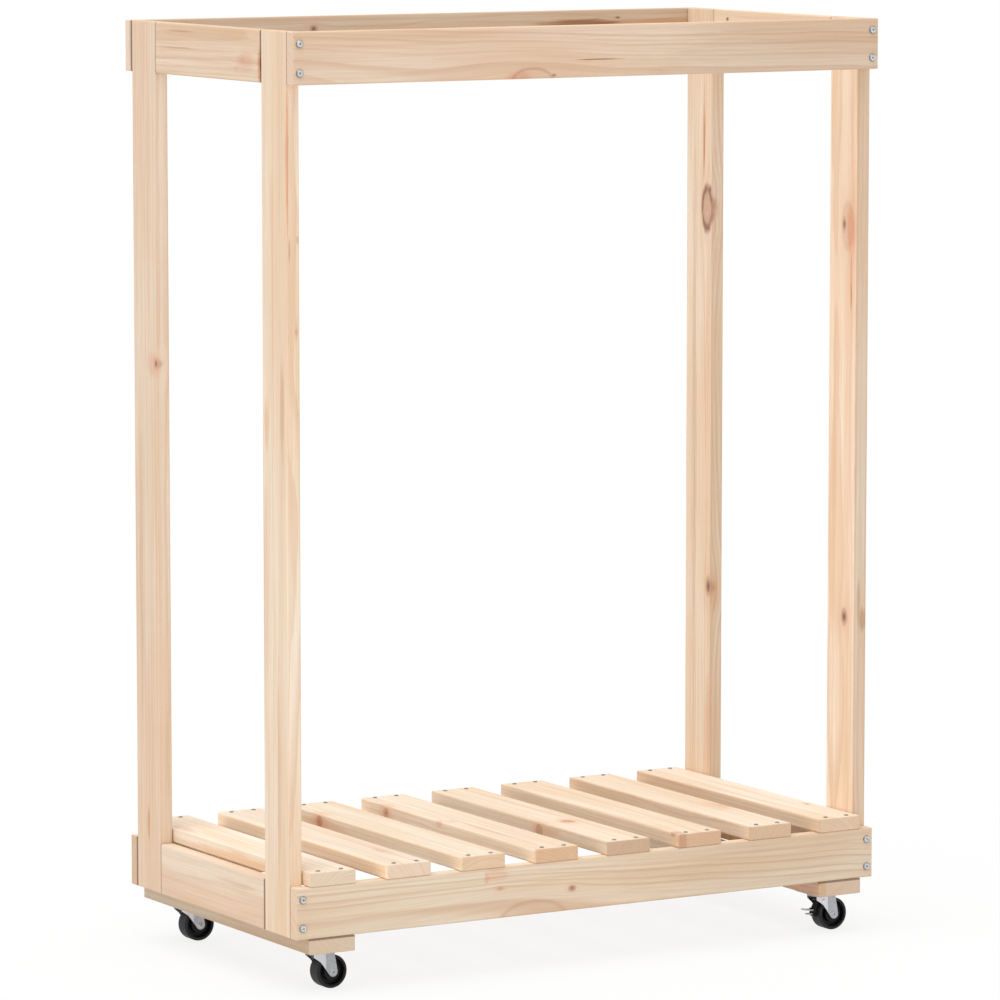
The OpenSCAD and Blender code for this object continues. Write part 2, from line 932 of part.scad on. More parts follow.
brake_arm(BACK_RIGHT);  // brake_arm_br
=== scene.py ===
# %% [markdown]
# # A fireside log cart
# The cart is a tall open frame of planed, unfinished pine. Its slatted floor carries firewood, and it rolls
# on four small swivel casters with zinc-plated forks and black wheels, two of them with a foot brake.
# The solids come from the CAD model and stay as they are. This script gives them their light and their
# finishes, and makes anew the small pieces whose fine shape the solids leave out.

from collections import namedtuple

import bpy
import numpy as np
from mathutils import Matrix, Vector


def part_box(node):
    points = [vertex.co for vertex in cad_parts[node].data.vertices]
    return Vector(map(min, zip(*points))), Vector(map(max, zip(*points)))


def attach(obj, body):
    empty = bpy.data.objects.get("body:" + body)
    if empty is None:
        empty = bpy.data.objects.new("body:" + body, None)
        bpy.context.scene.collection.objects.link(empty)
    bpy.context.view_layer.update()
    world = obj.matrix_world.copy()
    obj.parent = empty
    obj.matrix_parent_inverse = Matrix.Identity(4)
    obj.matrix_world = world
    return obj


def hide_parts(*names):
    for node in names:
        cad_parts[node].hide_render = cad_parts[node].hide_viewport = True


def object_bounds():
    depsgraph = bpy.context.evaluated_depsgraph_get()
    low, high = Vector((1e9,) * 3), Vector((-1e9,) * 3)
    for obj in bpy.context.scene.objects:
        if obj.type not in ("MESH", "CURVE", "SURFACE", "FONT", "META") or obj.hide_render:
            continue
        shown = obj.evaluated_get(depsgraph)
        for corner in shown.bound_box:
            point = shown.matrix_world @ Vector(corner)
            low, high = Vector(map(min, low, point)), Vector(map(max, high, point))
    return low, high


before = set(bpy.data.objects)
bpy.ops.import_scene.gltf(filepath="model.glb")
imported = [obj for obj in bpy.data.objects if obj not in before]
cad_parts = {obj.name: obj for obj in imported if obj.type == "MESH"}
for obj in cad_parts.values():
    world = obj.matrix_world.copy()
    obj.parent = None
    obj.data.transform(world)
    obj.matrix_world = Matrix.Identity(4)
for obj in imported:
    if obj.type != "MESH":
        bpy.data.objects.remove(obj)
cad_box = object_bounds()
MM = 0.001
size = [round(side / MM, 1) for side in cad_box[1] - cad_box[0]]
print("nodes:", len(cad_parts), "size in mm:", size)

# %% [markdown]
# ## The camera
# A picture of furniture is often taken from far away with a long lens, which keeps its uprights nearly
# parallel. The camera's place could be found by trial, but a least-squares fit of the frame's corners to
# their places in the picture gives all of it at once: about 6.8 m away, 31 degrees to the left of the
# front, and looking down by 7 degrees.

# %% Camera
camera_place = Vector((-3438.8, -5812.2, 1325.8)) * MM
camera_yaw = 0.53376
camera_pitch = 0.12010
focal_pixels = 5887.4
picture_pixels = 1000
sensor_mm = 36

camera = bpy.data.objects.new("camera", bpy.data.cameras.new("camera"))
bpy.context.collection.objects.link(camera)
camera.location = camera_place
camera.rotation_euler = (np.pi / 2 - camera_pitch, 0, -camera_yaw)
camera.data.sensor_width = sensor_mm
camera.data.lens = sensor_mm * focal_pixels / picture_pixels
camera.data.clip_end = 200
bpy.context.scene.camera = camera
print("lens:", round(camera.data.lens, 1), "mm")

# %% [markdown]
# ## Building node trees
# Finishes here are computed from a point's own place on the piece, so they need no picture files and have
# no seams. A shader tree is easier to read as formulas than as boxes and wires. These helpers add one node
# each and hand back its result, so that a formula in the code is a formula in the tree.

# %% Helpers for shader trees
NODE_GAP = 190  # from one node to the next in the editor


class Tree:
    """A shader tree that grows by formulas: each call adds a node, and gives its output socket."""

    def __init__(self, node_tree):
        self.tree = node_tree

    def put(self, kind, inputs, output=0, **settings):
        """Adds a node. inputs maps a socket's name or number to a value or to another node's output."""
        node = self.tree.nodes.new("ShaderNode" + kind)
        node.location = (NODE_GAP * len(self.tree.nodes), 0)
        for name, value in settings.items():
            setattr(node, name, value)
        for key, value in inputs.items():
            self.feed(node.inputs[key], value)
        return node.outputs[output]

    def feed(self, socket, value):
        """Links another node's output to the socket, or writes a plain value into it."""
        if isinstance(value, bpy.types.NodeSocket):
            self.tree.links.new(value, socket)
        else:
            socket.default_value = value

    def math(self, operation, *values):
        """One step of arithmetic on numbers, such as ADD or MINIMUM."""
        return self.put("Math", dict(enumerate(values)), operation=operation)

    def vector(self, operation, *values):
        """One step of arithmetic on vectors. A length or a product of two vectors is a number."""
        output = "Value" if operation in ("LENGTH", "DOT_PRODUCT") else "Vector"
        return self.put("VectorMath", dict(enumerate(values)), output, operation=operation)

    def scaled(self, vector, factor):
        """The vector times a number."""
        return self.put("VectorMath", {0: vector, "Scale": factor}, operation="SCALE")

    def split(self, vector):
        """The vector's three numbers."""
        node = self.put("SeparateXYZ", {0: vector}).node
        return node.outputs[0], node.outputs[1], node.outputs[2]

    def joined(self, x, y, z):
        """A vector of three numbers."""
        return self.put("CombineXYZ", {0: x, 1: y, 2: z})

    def step(self, value, low, high, out_low=0.0, out_high=1.0):
        """A smooth step: out_low where the value is at low, out_high where it is at high."""
        return self.put("MapRange", {"Value": value, "From Min": low, "From Max": high, "To Min": out_low,
                                     "To Max": out_high}, interpolation_type="SMOOTHSTEP")

    def noise(self, vector, detail=2.0, roughness=0.5, output="Fac"):
        """Soft noise about 0.5, with one wave for each unit of the vector."""
        return self.put("TexNoise", {"Vector": vector, "Scale": 1.0, "Detail": detail,
                                     "Roughness": roughness}, output)

    def mix(self, factor, first, second, blend="MIX"):
        """Colour mixing: the first colour where the factor is 0, the second where it is 1."""
        return self.put("Mix", {0: factor, 6: first, 7: second}, 2, data_type="RGBA", blend_type=blend)

    def seen_directly(self):
        """1 for rays that come from the camera, a reflection or a transmission, and 0 for soft light."""
        rays = self.put("LightPath", {}).node.outputs
        either = self.math("MAXIMUM", rays["Is Camera Ray"], rays["Is Glossy Ray"])
        return self.math("MAXIMUM", either, rays["Is Transmission Ray"])


# %% Helpers for node groups
def new_group(name, inputs, outputs):
    """Starts a node group. inputs is {socket: (kind, default)} and outputs is {socket: kind}.
    Gives its tree, its inputs as sockets to read from, and its outputs as sockets to feed."""
    group = bpy.data.node_groups.new(name, "ShaderNodeTree")
    for label, (kind, default) in inputs.items():
        socket = group.interface.new_socket(label, in_out="INPUT", socket_type="NodeSocket" + kind)
        socket.default_value = default
    for label, kind in outputs.items():
        group.interface.new_socket(label, in_out="OUTPUT", socket_type="NodeSocket" + kind)
    start = group.nodes.new("NodeGroupInput")
    end = group.nodes.new("NodeGroupOutput")
    return Tree(group), start.outputs, end.inputs


def place_group(tree, group, **values):
    """Places a group in a tree. A socket's name has _ for its spaces here. Gives the node's outputs."""
    node = tree.tree.nodes.new("ShaderNodeGroup")
    node.node_tree = group.tree
    node.location = (NODE_GAP * len(tree.tree.nodes), 0)
    for name, value in values.items():
        tree.feed(node.inputs[name.replace("_", " ")], value)
    return node.outputs


# %% Colours and plain materials
def paint(red, green, blue):
    """A colour from 0 to 255 a channel, as a picture stores it, in the linear values that shaders use."""
    stored = np.array([red, green, blue]) / 255
    linear = np.where(stored <= 0.04045, stored / 12.92, ((stored + 0.055) / 1.055) ** 2.4)
    return (*linear.tolist(), 1.0)


def plain_material(name, color, roughness):
    """A new material whose shader has one colour and one roughness, and that shader."""
    material = bpy.data.materials.new(name)
    material.use_nodes = True
    shader = material.node_tree.nodes["Principled BSDF"]
    shader.inputs["Base Color"].default_value = color
    shader.inputs["Roughness"].default_value = roughness
    return material, shader


# %% [markdown]
# ## The studio
# The cart stands on a pale floor in soft light from above and a little from the left. One wide lamp far
# away lights the top faces most, the left faces less and the front faces least. An area lamp would fall
# off over the floor, so a sun with a wide angle is used: it is as soft, and even everywhere.
# The world fills the shadows. Floor and world are white for what sees them directly, and the floor keeps a
# share of its own shading there, so that a light shadow still ties the cart to the ground.

# %% Floor
floor_reach = 80.0
floor_mesh = bpy.data.meshes.new("floor")
floor_corners = [(x * floor_reach, y * floor_reach, 0) for x, y in ((-1, -1), (1, -1), (1, 1), (-1, 1))]
floor_mesh.from_pydata(floor_corners, [], [(0, 1, 2, 3)])
floor = bpy.data.objects.new("floor", floor_mesh)
bpy.context.collection.objects.link(floor)
floor_grey = 0.83
floor_finish, floor_shader = plain_material("floor_paint", (floor_grey, floor_grey, floor_grey, 1), 1.0)
floor_shader.inputs["Specular IOR Level"].default_value = 0.0
floor_mesh.materials.append(floor_finish)
floor_whiteness = 0.84
floor_tree = Tree(floor_finish.node_tree)
white = floor_tree.put("Emission", {"Color": (1, 1, 1, 1), "Strength": 1.0})
share = floor_tree.math("MULTIPLY", floor_tree.seen_directly(), floor_whiteness)
blended = floor_tree.put("MixShader", {0: share, 1: floor_shader.outputs[0], 2: white})
floor_tree.feed(floor_finish.node_tree.nodes["Material Output"].inputs["Surface"], blended)
print("floor:", 2 * floor_reach, "m wide")

# %% Lamp and world
lamp = bpy.data.objects.new("soft_lamp", bpy.data.lights.new("soft_lamp", "SUN"))
bpy.context.collection.objects.link(lamp)
lamp_width = np.radians(55)
way_to_lamp = Vector((-0.28, -0.10, 0.95))
lamp.data.energy = 1.65
lamp.data.angle = lamp_width
lamp.rotation_euler = way_to_lamp.to_track_quat("Z", "Y").to_euler()

world = bpy.data.worlds.new("studio")
bpy.context.scene.world = world
world.use_nodes = True
fill_strength = 0.72
world_tree = Tree(world.node_tree)
sky = world.node_tree.nodes["Background"]
sky.inputs["Color"].default_value = (1, 1, 1, 1)
sky_strength = world_tree.step(world_tree.seen_directly(), 0.0, 1.0, fill_strength, 1.0)
world_tree.feed(sky.inputs["Strength"], sky_strength)
bpy.context.scene.view_settings.view_transform = "Standard"
print("lamp:", round(lamp.data.energy, 2), "fill:", fill_strength)

# %% [markdown]
# ## Pine, step 1: a knot
# A knot is the root of a branch, so it is a spindle of darker wood that crosses the board, and the growth
# rings part and flow round it. It could be a painted spot, but then the lines would run straight through.
# Here a knot is an ellipsoid in the board's own space, with ragged edges. It gives three masks. Dark is the
# core of the knot and scraps of bark along its rim. Body is the rim and the brown wood inside it, which has
# rings of its own. Halo is warmer wood about the knot. The knot also moves the points near it towards its
# middle, so that whatever is drawn with those points bends round it.

# %% Group: knot
tree, given, result = new_group("knot", {
    "Point": ("Vector", (0, 0, 0)), "Centre": ("Vector", (0, 0, 0)),
    "Radii": ("Vector", (0.005, 0.02, 0.008)), "Body": ("Float", 0.6), "Core": ("Float", 0.3),
    "Rim": ("Float", 0.5), "Rim Width": ("Float", 0.34), "Halo": ("Float", 0.5),
    "Bent Point": ("Vector", (0, 0, 0)), "Dark So Far": ("Float", 0.0), "Body So Far": ("Float", 0.0),
    "Halo So Far": ("Float", 0.0),
}, {"Bent Point": "Vector", "Dark": "Float", "Body": "Float", "Halo": "Float"})
offset = tree.vector("SUBTRACT", given["Point"], given["Centre"])
distance = tree.vector("LENGTH", tree.vector("DIVIDE", offset, given["Radii"]))
# The edge wavers by 0.75 mm to either side, and in a tiny knot by at most a quarter of its radius.
ragged = tree.noise(tree.vector("MULTIPLY", given["Point"], (420, 420, 150)), detail=3)
raggedness = tree.math("MINIMUM", tree.math("DIVIDE", 0.0015, tree.split(given["Radii"])[0]), 0.5)
distance = tree.math("MULTIPLY_ADD", tree.math("SUBTRACT", ragged, 0.5), raggedness, distance)
# The core is darkest 0.34 radii inside its edge and gone 0.42 radii outside it.
core = tree.step(tree.math("SUBTRACT", distance, given["Core"]), 0.42, -0.34, 0.0, 0.88)
rim_place, bark_share = 0.9, 0.7
rim = tree.math("ABSOLUTE", tree.math("SUBTRACT", distance, rim_place))
rim = tree.math("MULTIPLY", tree.step(rim, given["Rim Width"], 0.0), given["Rim"])
broken = tree.noise(tree.vector("MULTIPLY", given["Point"], (160, 160, 60)), detail=1)
bark = tree.math("MULTIPLY", rim, tree.math("MULTIPLY", given["Rim"], bark_share))
bark = tree.math("MULTIPLY", bark, tree.step(broken, 0.35, 0.60))
rings = tree.math("MULTIPLY_ADD", tree.math("SINE", tree.math("MULTIPLY", distance, 16.0)), 0.14, 0.86)
body = tree.math("MULTIPLY", tree.math("MULTIPLY", tree.step(distance, 1.15, 0.8), rings), given["Body"])


def bell(reach_shares):
    """1 at the knot's middle, falling off over a reach that is given in shares of the knot's radii. It is
    exp(-1.6 * a^2), where a is the distance in such reaches."""
    reach = tree.vector("MULTIPLY", given["Radii"], reach_shares)
    away = tree.vector("LENGTH", tree.vector("DIVIDE", offset, reach))
    return tree.math("EXPONENT", tree.math("MULTIPLY", tree.math("MULTIPLY", away, away), -1.6))


halo = tree.math("MULTIPLY", bell((2.0, 2.0, 2.6)), given["Halo"])
pull = tree.scaled(tree.vector("MULTIPLY", offset, (0.85, 0.85, 0)), bell((2.0, 2.0, 4.5)))
tree.feed(result["Bent Point"], tree.vector("SUBTRACT", given["Bent Point"], pull))
tree.feed(result["Dark"], tree.math("MAXIMUM", tree.math("MAXIMUM", core, bark), given["Dark So Far"]))
tree.feed(result["Body"], tree.math("MAXIMUM", tree.math("MAXIMUM", body, rim), given["Body So Far"]))
tree.feed(result["Halo"], tree.math("MAXIMUM", halo, given["Halo So Far"]))
KNOT = tree
print("knot:", len(tree.tree.nodes), "nodes")

# %% [markdown]
# ## Pine, step 2: a stain
# Resin, heartwood and old bruises leave soft streaks of another tone, most of them long and narrow. Each is
# a ragged ellipsoid too. It multiplies the colour under it by its hue, as a glaze does, so that the grain
# still shows through. A hue above 1 makes the wood paler, as sapwood is. A few stains are painted shade
# or painted light instead, on faces that get less or more light.

# %% Group: stain
tree, given, result = new_group("stain", {
    "Point": ("Vector", (0, 0, 0)), "Centre": ("Vector", (0, 0, 0)),
    "Radii": ("Vector", (0.005, 0.02, 0.05)), "Amount": ("Float", 0.5),
    "Hue": ("Color", (0.9, 0.7, 0.5, 1)), "Color": ("Color", (0.8, 0.7, 0.6, 1)),
}, {"Color": "Color"})
offset = tree.vector("SUBTRACT", given["Point"], given["Centre"])
ragged = tree.noise(tree.vector("MULTIPLY", given["Point"], (300, 300, 26)), detail=3)
distance = tree.vector("LENGTH", tree.vector("DIVIDE", offset, given["Radii"]))
distance = tree.math("ADD", tree.math("SUBTRACT", ragged, 0.5), distance)
mask = tree.math("MULTIPLY", tree.step(distance, 1.15, 0.45), given["Amount"])
tree.feed(result["Color"], tree.mix(mask, given["Color"], given["Hue"], blend="MULTIPLY"))
STAIN = tree
print("stain:", len(tree.tree.nodes), "nodes")

# %% [markdown]
# ## Pine, step 3: growth rings
# A tree's rings are cylinders about its pith, and a board cuts through them. A board sawn near the pith's
# plane shows straight lines, and one sawn further out shows arches. A wave texture gives lines on one face
# only, and they don't meet at the edges. So the rings are computed in three dimensions: the distance from a
# pith line beside the board, which leans and wanders a little along its length, divided by the width of a
# year. The fast growth of spring is pale. The slow growth of late summer is darker and ends sharply.

# %% Group: growth rings
tree, given, result = new_group("growth rings", {
    "Point": ("Vector", (0, 0, 0)), "Pith": ("Vector", (0.02, 0.05, 0)), "Lean": ("Float", 0.0),
    "Ring Width": ("Float", 0.003), "Wander": ("Float", 0.01), "Thinness": ("Float", 0.5),
    "Seed": ("Float", 0.0),
}, {"Late Wood": "Float", "Year": "Float"})
shift = tree.joined(given["Seed"], tree.math("MULTIPLY", given["Seed"], 1.7), given["Seed"])
slow = tree.vector("ADD", tree.vector("MULTIPLY", given["Point"], (5, 5, 2.6)), shift)
slow = tree.noise(slow, detail=2, roughness=0.45, output="Color")
slow = tree.scaled(tree.vector("SUBTRACT", slow, (0.5, 0.5, 0.5)), given["Wander"])
across, through, along = tree.split(tree.vector("SUBTRACT", given["Point"], given["Pith"]))
across = tree.math("MULTIPLY_ADD", along, given["Lean"], across)
from_pith = tree.vector("ADD", tree.joined(across, through, 0.0), slow)
radius = tree.vector("LENGTH", tree.vector("MULTIPLY", from_pith, (1, 1, 0)))
# The lines shiver by up to 0.6 mm to either side, and good years are wider than poor ones.
shiver = tree.noise(tree.vector("MULTIPLY", given["Point"], (180, 180, 9)), detail=2)
radius = tree.math("MULTIPLY_ADD", tree.math("SUBTRACT", shiver, 0.5), 0.0012, radius)
years = tree.math("DIVIDE", radius, given["Ring Width"])
good_years = tree.put("TexNoise", {"W": tree.math("MULTIPLY_ADD", years, 0.33, given["Seed"]), "Scale": 1.0,
                                   "Detail": 1.0}, "Fac", noise_dimensions="1D")
years = tree.math("MULTIPLY_ADD", good_years, 2.2, years)
season = tree.math("FRACT", years)
late = tree.math("MULTIPLY", tree.step(season, given["Thinness"], 0.92), tree.step(season, 1.0, 0.94))
year = tree.put("TexWhiteNoise", {"W": tree.math("FLOOR", years)}, "Value", noise_dimensions="1D")
tree.feed(result["Late Wood"], late)
tree.feed(result["Year"], year)
RINGS = tree
print("growth rings:", len(tree.tree.nodes), "nodes")

# %% [markdown]
# ## Pine, step 4: fibres
# Seen close, planed pine has fine streaks along the grain, and here and there a resin canal, a short dark
# dash. Both are noise that is stretched along the board. Coarser streaks of the same kind give the soft
# stripes, a few millimetres wide, that are seen from further off.

# %% Group: fibres
tree, given, result = new_group("fibres", {"Point": ("Vector", (0, 0, 0)), "Seed": ("Float", 0.0)},
                                {"Streaks": "Float", "Stripes": "Float", "Canals": "Float"})
shift = tree.joined(given["Seed"], given["Seed"], given["Seed"])


def stretched(across, along, **settings):
    """Noise with so many waves a metre across the grain and along it."""
    point = tree.vector("ADD", tree.vector("MULTIPLY", given["Point"], (across, across, along)), shift)
    return tree.noise(point, **settings)


tree.feed(result["Streaks"], stretched(900, 14, detail=3, roughness=0.6))
tree.feed(result["Stripes"], stretched(210, 3.2, detail=2, roughness=0.55))
tree.feed(result["Canals"], tree.step(stretched(1500, 110, detail=1), 0.70, 0.80))
FIBRES = tree
print("fibres:", len(tree.tree.nodes), "nodes")

# %% [markdown]
# ## Pine, step 5: the board
# The groups come together in the colour of a board. The order is that of the wood itself: a pale ground
# with slow changes of tone, stripes, late wood and fibres, then knots over all. The sawn ends have their
# own tone, because open pores swallow light. The eased long edges have painted shade, a little darker,
# which holds down the bright line that their rounding catches from the lamp.
# Where a board meets its neighbour, the joint has painted shade, a fine dark line for the crack between
# them: at both ends of a board that butts against posts, or along one side of the end of a board that
# laps over them.

# %% Group: pine board, its wood
tree, given, result = new_group("pine board", {
    "Point": ("Vector", (0, 0, 0)), "Bent Point": ("Vector", (0, 0, 0)),
    "Half Size": ("Vector", (0.03, 0.01, 0.5)), "Pith": ("Vector", (0.02, 0.05, 0)),
    "Lean": ("Float", 0.0), "Ring Width": ("Float", 0.003), "Wander": ("Float", 0.01),
    "Thinness": ("Float", 0.5), "Line Strength": ("Float", 0.6), "Tone": ("Color", (1, 1, 1, 1)),
    "End Color": ("Color", (0.7, 0.5, 0.3, 1)), "Seed": ("Float", 0.0), "Butt": ("Float", 0.0),
    "Lap": ("Float", 0.0), "Dark": ("Float", 0.0), "Body": ("Float", 0.0), "Halo": ("Float", 0.0),
}, {"Color": "Color", "Roughness": "Float", "Height": "Float"})
rings = place_group(tree, RINGS, Point=given["Bent Point"], Pith=given["Pith"], Lean=given["Lean"],
                    Ring_Width=given["Ring Width"], Wander=given["Wander"], Thinness=given["Thinness"],
                    Seed=given["Seed"])
fibres = place_group(tree, FIBRES, Point=given["Bent Point"], Seed=given["Seed"])
shift = tree.joined(given["Seed"], given["Seed"], 0.0)
cloud = tree.vector("ADD", tree.vector("MULTIPLY", given["Bent Point"], (22, 22, 3)), shift)
cloud = tree.noise(cloud, detail=2)
PALE, PALEST, WARM = paint(241, 222, 200), paint(246, 230, 210), paint(235, 206, 176)
LATE, RESIN = paint(211, 168, 130), paint(186, 138, 98)
color = tree.mix(tree.step(cloud, 0.32, 0.68), PALE, WARM)
color = tree.mix(tree.step(fibres["Stripes"], 0.42, 0.72, 0.0, 0.22), color, LATE)
color = tree.mix(tree.step(fibres["Stripes"], 0.46, 0.26, 0.0, 0.35), color, PALEST)
late = tree.math("MULTIPLY", rings["Late Wood"], tree.math("MULTIPLY_ADD", rings["Year"], 0.8, 0.3))
color = tree.mix(tree.math("MULTIPLY", late, given["Line Strength"]), color, LATE)
color = tree.mix(tree.step(fibres["Streaks"], 0.35, 0.75, 0.0, 0.26), color, LATE)
color = tree.mix(tree.math("MULTIPLY", fibres["Canals"], 0.35), color, RESIN)
color = tree.mix(1.0, color, given["Tone"], blend="MULTIPLY")

# %% Group: pine board, its ends, edges and joints
# Places here are in metres from the board's own faces, and less than 0 inside them.
half_through = tree.split(given["Half Size"])[1]
beyond = tree.vector("SUBTRACT", tree.vector("ABSOLUTE", given["Point"]), given["Half Size"])
across, through, along = tree.split(beyond)
side = tree.split(given["Point"])[1]
sawn = tree.step(along, -0.0012, -0.0002)
painted_edge_shade = tree.math("MULTIPLY", tree.step(across, -0.0025, -0.0008), tree.step(through, -0.0025, -0.0008))
color = tree.mix(tree.math("MULTIPLY", sawn, 0.75), color, given["End Color"])
color = tree.mix(tree.math("MULTIPLY", tree.math("MULTIPLY", sawn, late), 0.2), color, LATE)
# Painted shade: the eased edges are a little darker, against the bright line that their rounding catches.
color = tree.mix(tree.math("MULTIPLY", painted_edge_shade, 0.25), color, LATE)
# Painted shade: a fine dark line at the joints, where the crack between two boards lies in shade.
butt = tree.math("MULTIPLY", tree.step(along, -0.0026, -0.0016), given["Butt"])
lap = tree.math("SUBTRACT", tree.math("MULTIPLY", side, given["Lap"]), half_through)
lap = tree.math("MULTIPLY", tree.step(lap, -0.0026, -0.0014), tree.step(along, -0.003, -0.0015))
JOINT_SHADE = paint(112, 78, 56)
joint = tree.math("MULTIPLY", tree.math("MAXIMUM", butt, lap), 0.75)
color = tree.mix(joint, color, JOINT_SHADE)

# %% Group: pine board, its knots, gloss and relief
HALO_WOOD, KNOT_WOOD, KNOT_BARK = paint(222, 166, 130), paint(192, 138, 108), paint(116, 76, 55)
color = tree.mix(given["Halo"], color, HALO_WOOD)
color = tree.mix(given["Body"], color, KNOT_WOOD)
color = tree.mix(given["Dark"], color, KNOT_BARK)
tree.feed(result["Color"], color)

rough = tree.math("MULTIPLY_ADD", fibres["Streaks"], 0.16, 0.52)
rough = tree.math("MULTIPLY_ADD", sawn, 0.2, rough)
tree.feed(result["Roughness"], tree.math("MULTIPLY_ADD", given["Body"], -0.14, rough))
height = tree.math("MULTIPLY_ADD", late, 0.5, tree.math("MULTIPLY", fibres["Streaks"], 0.35))
tree.feed(result["Height"], tree.math("MULTIPLY_ADD", given["Dark"], -0.6, height))
BOARD = tree
print("pine board:", len(tree.tree.nodes), "nodes")

# %% [markdown]
# ## Each board's own wood
# Every board came from another place in another tree. So each has its own pith line, ring width, tone,
# knots and stains. They could be drawn at random, but a real board is known by its knots, so each is
# given one by one. A Mapping node turns the place on the cart into the board's own directions: across
# its width, through its thickness and along its length, from its middle. All lengths below are in
# millimetres.

# %% How a board lies
LIES = {
    # rows: the board's across, through and along directions, in the cart's axes
    "post": ((0, 1, 0), (-1, 0, 0), (0, 0, 1)),
    "long rail": ((0, 0, 1), (0, -1, 0), (1, 0, 0)),
    "side rail": ((0, 0, 1), (1, 0, 0), (0, 1, 0)),
    "cross board": ((1, 0, 0), (0, 0, -1), (0, 1, 0)),
}


def board_frame(node, lie):
    """The turn into a board's own directions, its middle, and half its width, thickness and length."""
    low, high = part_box(node)
    turn = Matrix(LIES[lie])
    half = turn @ ((high - low) / 2)
    return turn, (low + high) / 2, Vector(map(abs, half))


# %% Knots and stains
# Centre and radii are (across, through, along). The core is about the radius of the dark middle, as a
# share of the knot's own, and NO_CORE leaves it out. Body, rim, halo and amount are strengths from 0 to 1,
# and width is half the width of the rim, as a share of the knot's radius. A hue multiplies the linear
# colour.
NO_CORE = -1.0
Knot = namedtuple("Knot", "centre radii core body rim halo width", defaults=(0.35, 0.6, 0.4, 0.5, 0.34))
Stain = namedtuple("Stain", "centre radii amount hue")
ORANGE, PINK, RED = paint(248, 222, 196), paint(250, 230, 222), paint(238, 200, 182)
UMBER, CRACK = paint(220, 200, 180), paint(192, 164, 136)
# The grey hue is darker heartwood on most boards and painted shade on the back rail's inner face. The pale
# hues are sapwood on the posts and painted light on the left sides of slats 2 to 4.
HEARTWOOD_AND_SHADE, SAPWOOD_AND_LIGHT, PAINTED_LIGHT = (0.78, 0.77, 0.76, 1), (1.22, 1.25, 1.29, 1), (1.35, 1.26, 1.15, 1)


def narrow_edge(amount, hue):
    """A stain over the whole narrow edge at -across, darker or paler than the wide faces. It is wood of
    another tone, but on slats 2 to 4 it is painted light.
    """
    return Stain((-29, 0, 0), (3, 30, 3000), amount, hue)


# %% Dressing a board
def dress(node, material):
    """Gives a CAD node its finish."""
    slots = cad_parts[node].data.materials
    slots.clear()
    slots.append(material)


def dress_in_pine(node, lie, seed, pith, ring, wander=14, lean=0.0, thin=0.5, lines=0.5, tone=(1, 1, 1),
                  ends=(222, 192, 160), butt=0.0, lap=0.0, knots=(), stains=()):
    """Makes the finish of one board and gives it to its node. pith is where the rings' middle lies, across
    and through. thin is how late in the year the late wood starts, and lines is its strength. tone
    multiplies the linear colour, and ends is the sawn ends' colour. butt darkens the joints at both ends,
    and lap the one at the side of the ends that faces towards +through (1) or away from it (-1)."""
    turn, middle, half = board_frame(node, lie)
    material, shader = plain_material("pine_" + node, (0.8, 0.7, 0.6, 1), 0.6)
    tree = Tree(material.node_tree)
    place = tree.put("TexCoord", {}, "Object")
    into_board = {"Vector": place, "Location": -(turn @ middle), "Rotation": turn.to_euler()}
    point = tree.put("Mapping", into_board)
    bent, masks = point, {"Dark": 0.0, "Body": 0.0, "Halo": 0.0}
    for knot in knots:
        out = place_group(tree, KNOT, Point=point, Centre=Vector(knot.centre) * MM,
                          Radii=Vector(knot.radii) * MM, Body=knot.body, Core=knot.core, Rim=knot.rim,
                          Halo=knot.halo, Rim_Width=knot.width, Bent_Point=bent, Dark_So_Far=masks["Dark"],
                          Body_So_Far=masks["Body"], Halo_So_Far=masks["Halo"])
        bent, masks = out["Bent Point"], {name: out[name] for name in masks}
    board = place_group(tree, BOARD, Point=point, Bent_Point=bent, Half_Size=half,
                        Pith=Vector((*pith, 0)) * MM, Lean=lean, Ring_Width=ring * MM, Wander=wander * MM,
                        Thinness=thin, Line_Strength=lines, Tone=(*tone, 1), End_Color=paint(*ends),
                        Seed=float(seed), Butt=butt, Lap=lap, **masks)
    color = board["Color"]
    for stain in stains:
        color = place_group(tree, STAIN, Point=point, Centre=Vector(stain.centre) * MM,
                            Radii=Vector(stain.radii) * MM, Amount=stain.amount, Hue=stain.hue,
                            Color=color)["Color"]
    tree.feed(shader.inputs["Base Color"], color)
    tree.feed(shader.inputs["Roughness"], board["Roughness"])
    bump = tree.put("Bump", {"Strength": 0.5, "Distance": 0.15 * MM, "Height": board["Height"]}, "Normal")
    tree.feed(shader.inputs["Normal"], bump)
    dress(node, material)


# %% Posts
dress_in_pine("post_front_left", "post", 1, pith=(70, 14), ring=3.4, lines=0.5, thin=0.35,
              tone=(1.03, 1.05, 1.05),
              knots=[Knot((-29, -5.4, 273), (5, 1.6, 4), NO_CORE, 0.4, 0.3, 0.3),
                     Knot((-29, -3.5, 172), (5, 1.6, 3.5), NO_CORE, 0.4, 0.2, 0.3)],
              stains=[narrow_edge(0.5, SAPWOOD_AND_LIGHT),
                      Stain((-29, 7, 360), (4, 1.5, 90), 0.9, RED),
                      Stain((-29, 5, 262), (5, 1.2, 16), 0.8, UMBER),
                      Stain((19, 8, 69), (5, 5, 34), 0.7, ORANGE),
                      Stain((22, 8, -110), (7, 6, 130), 0.5, PINK),
                      Stain((4, 8, 210), (3.5, 6, 190), 0.5, PINK),
                      Stain((-17, 8, 90), (5, 6, 60), 0.5, UMBER),
                      Stain((-6, 8, -330), (4, 6, 150), 0.45, UMBER)])
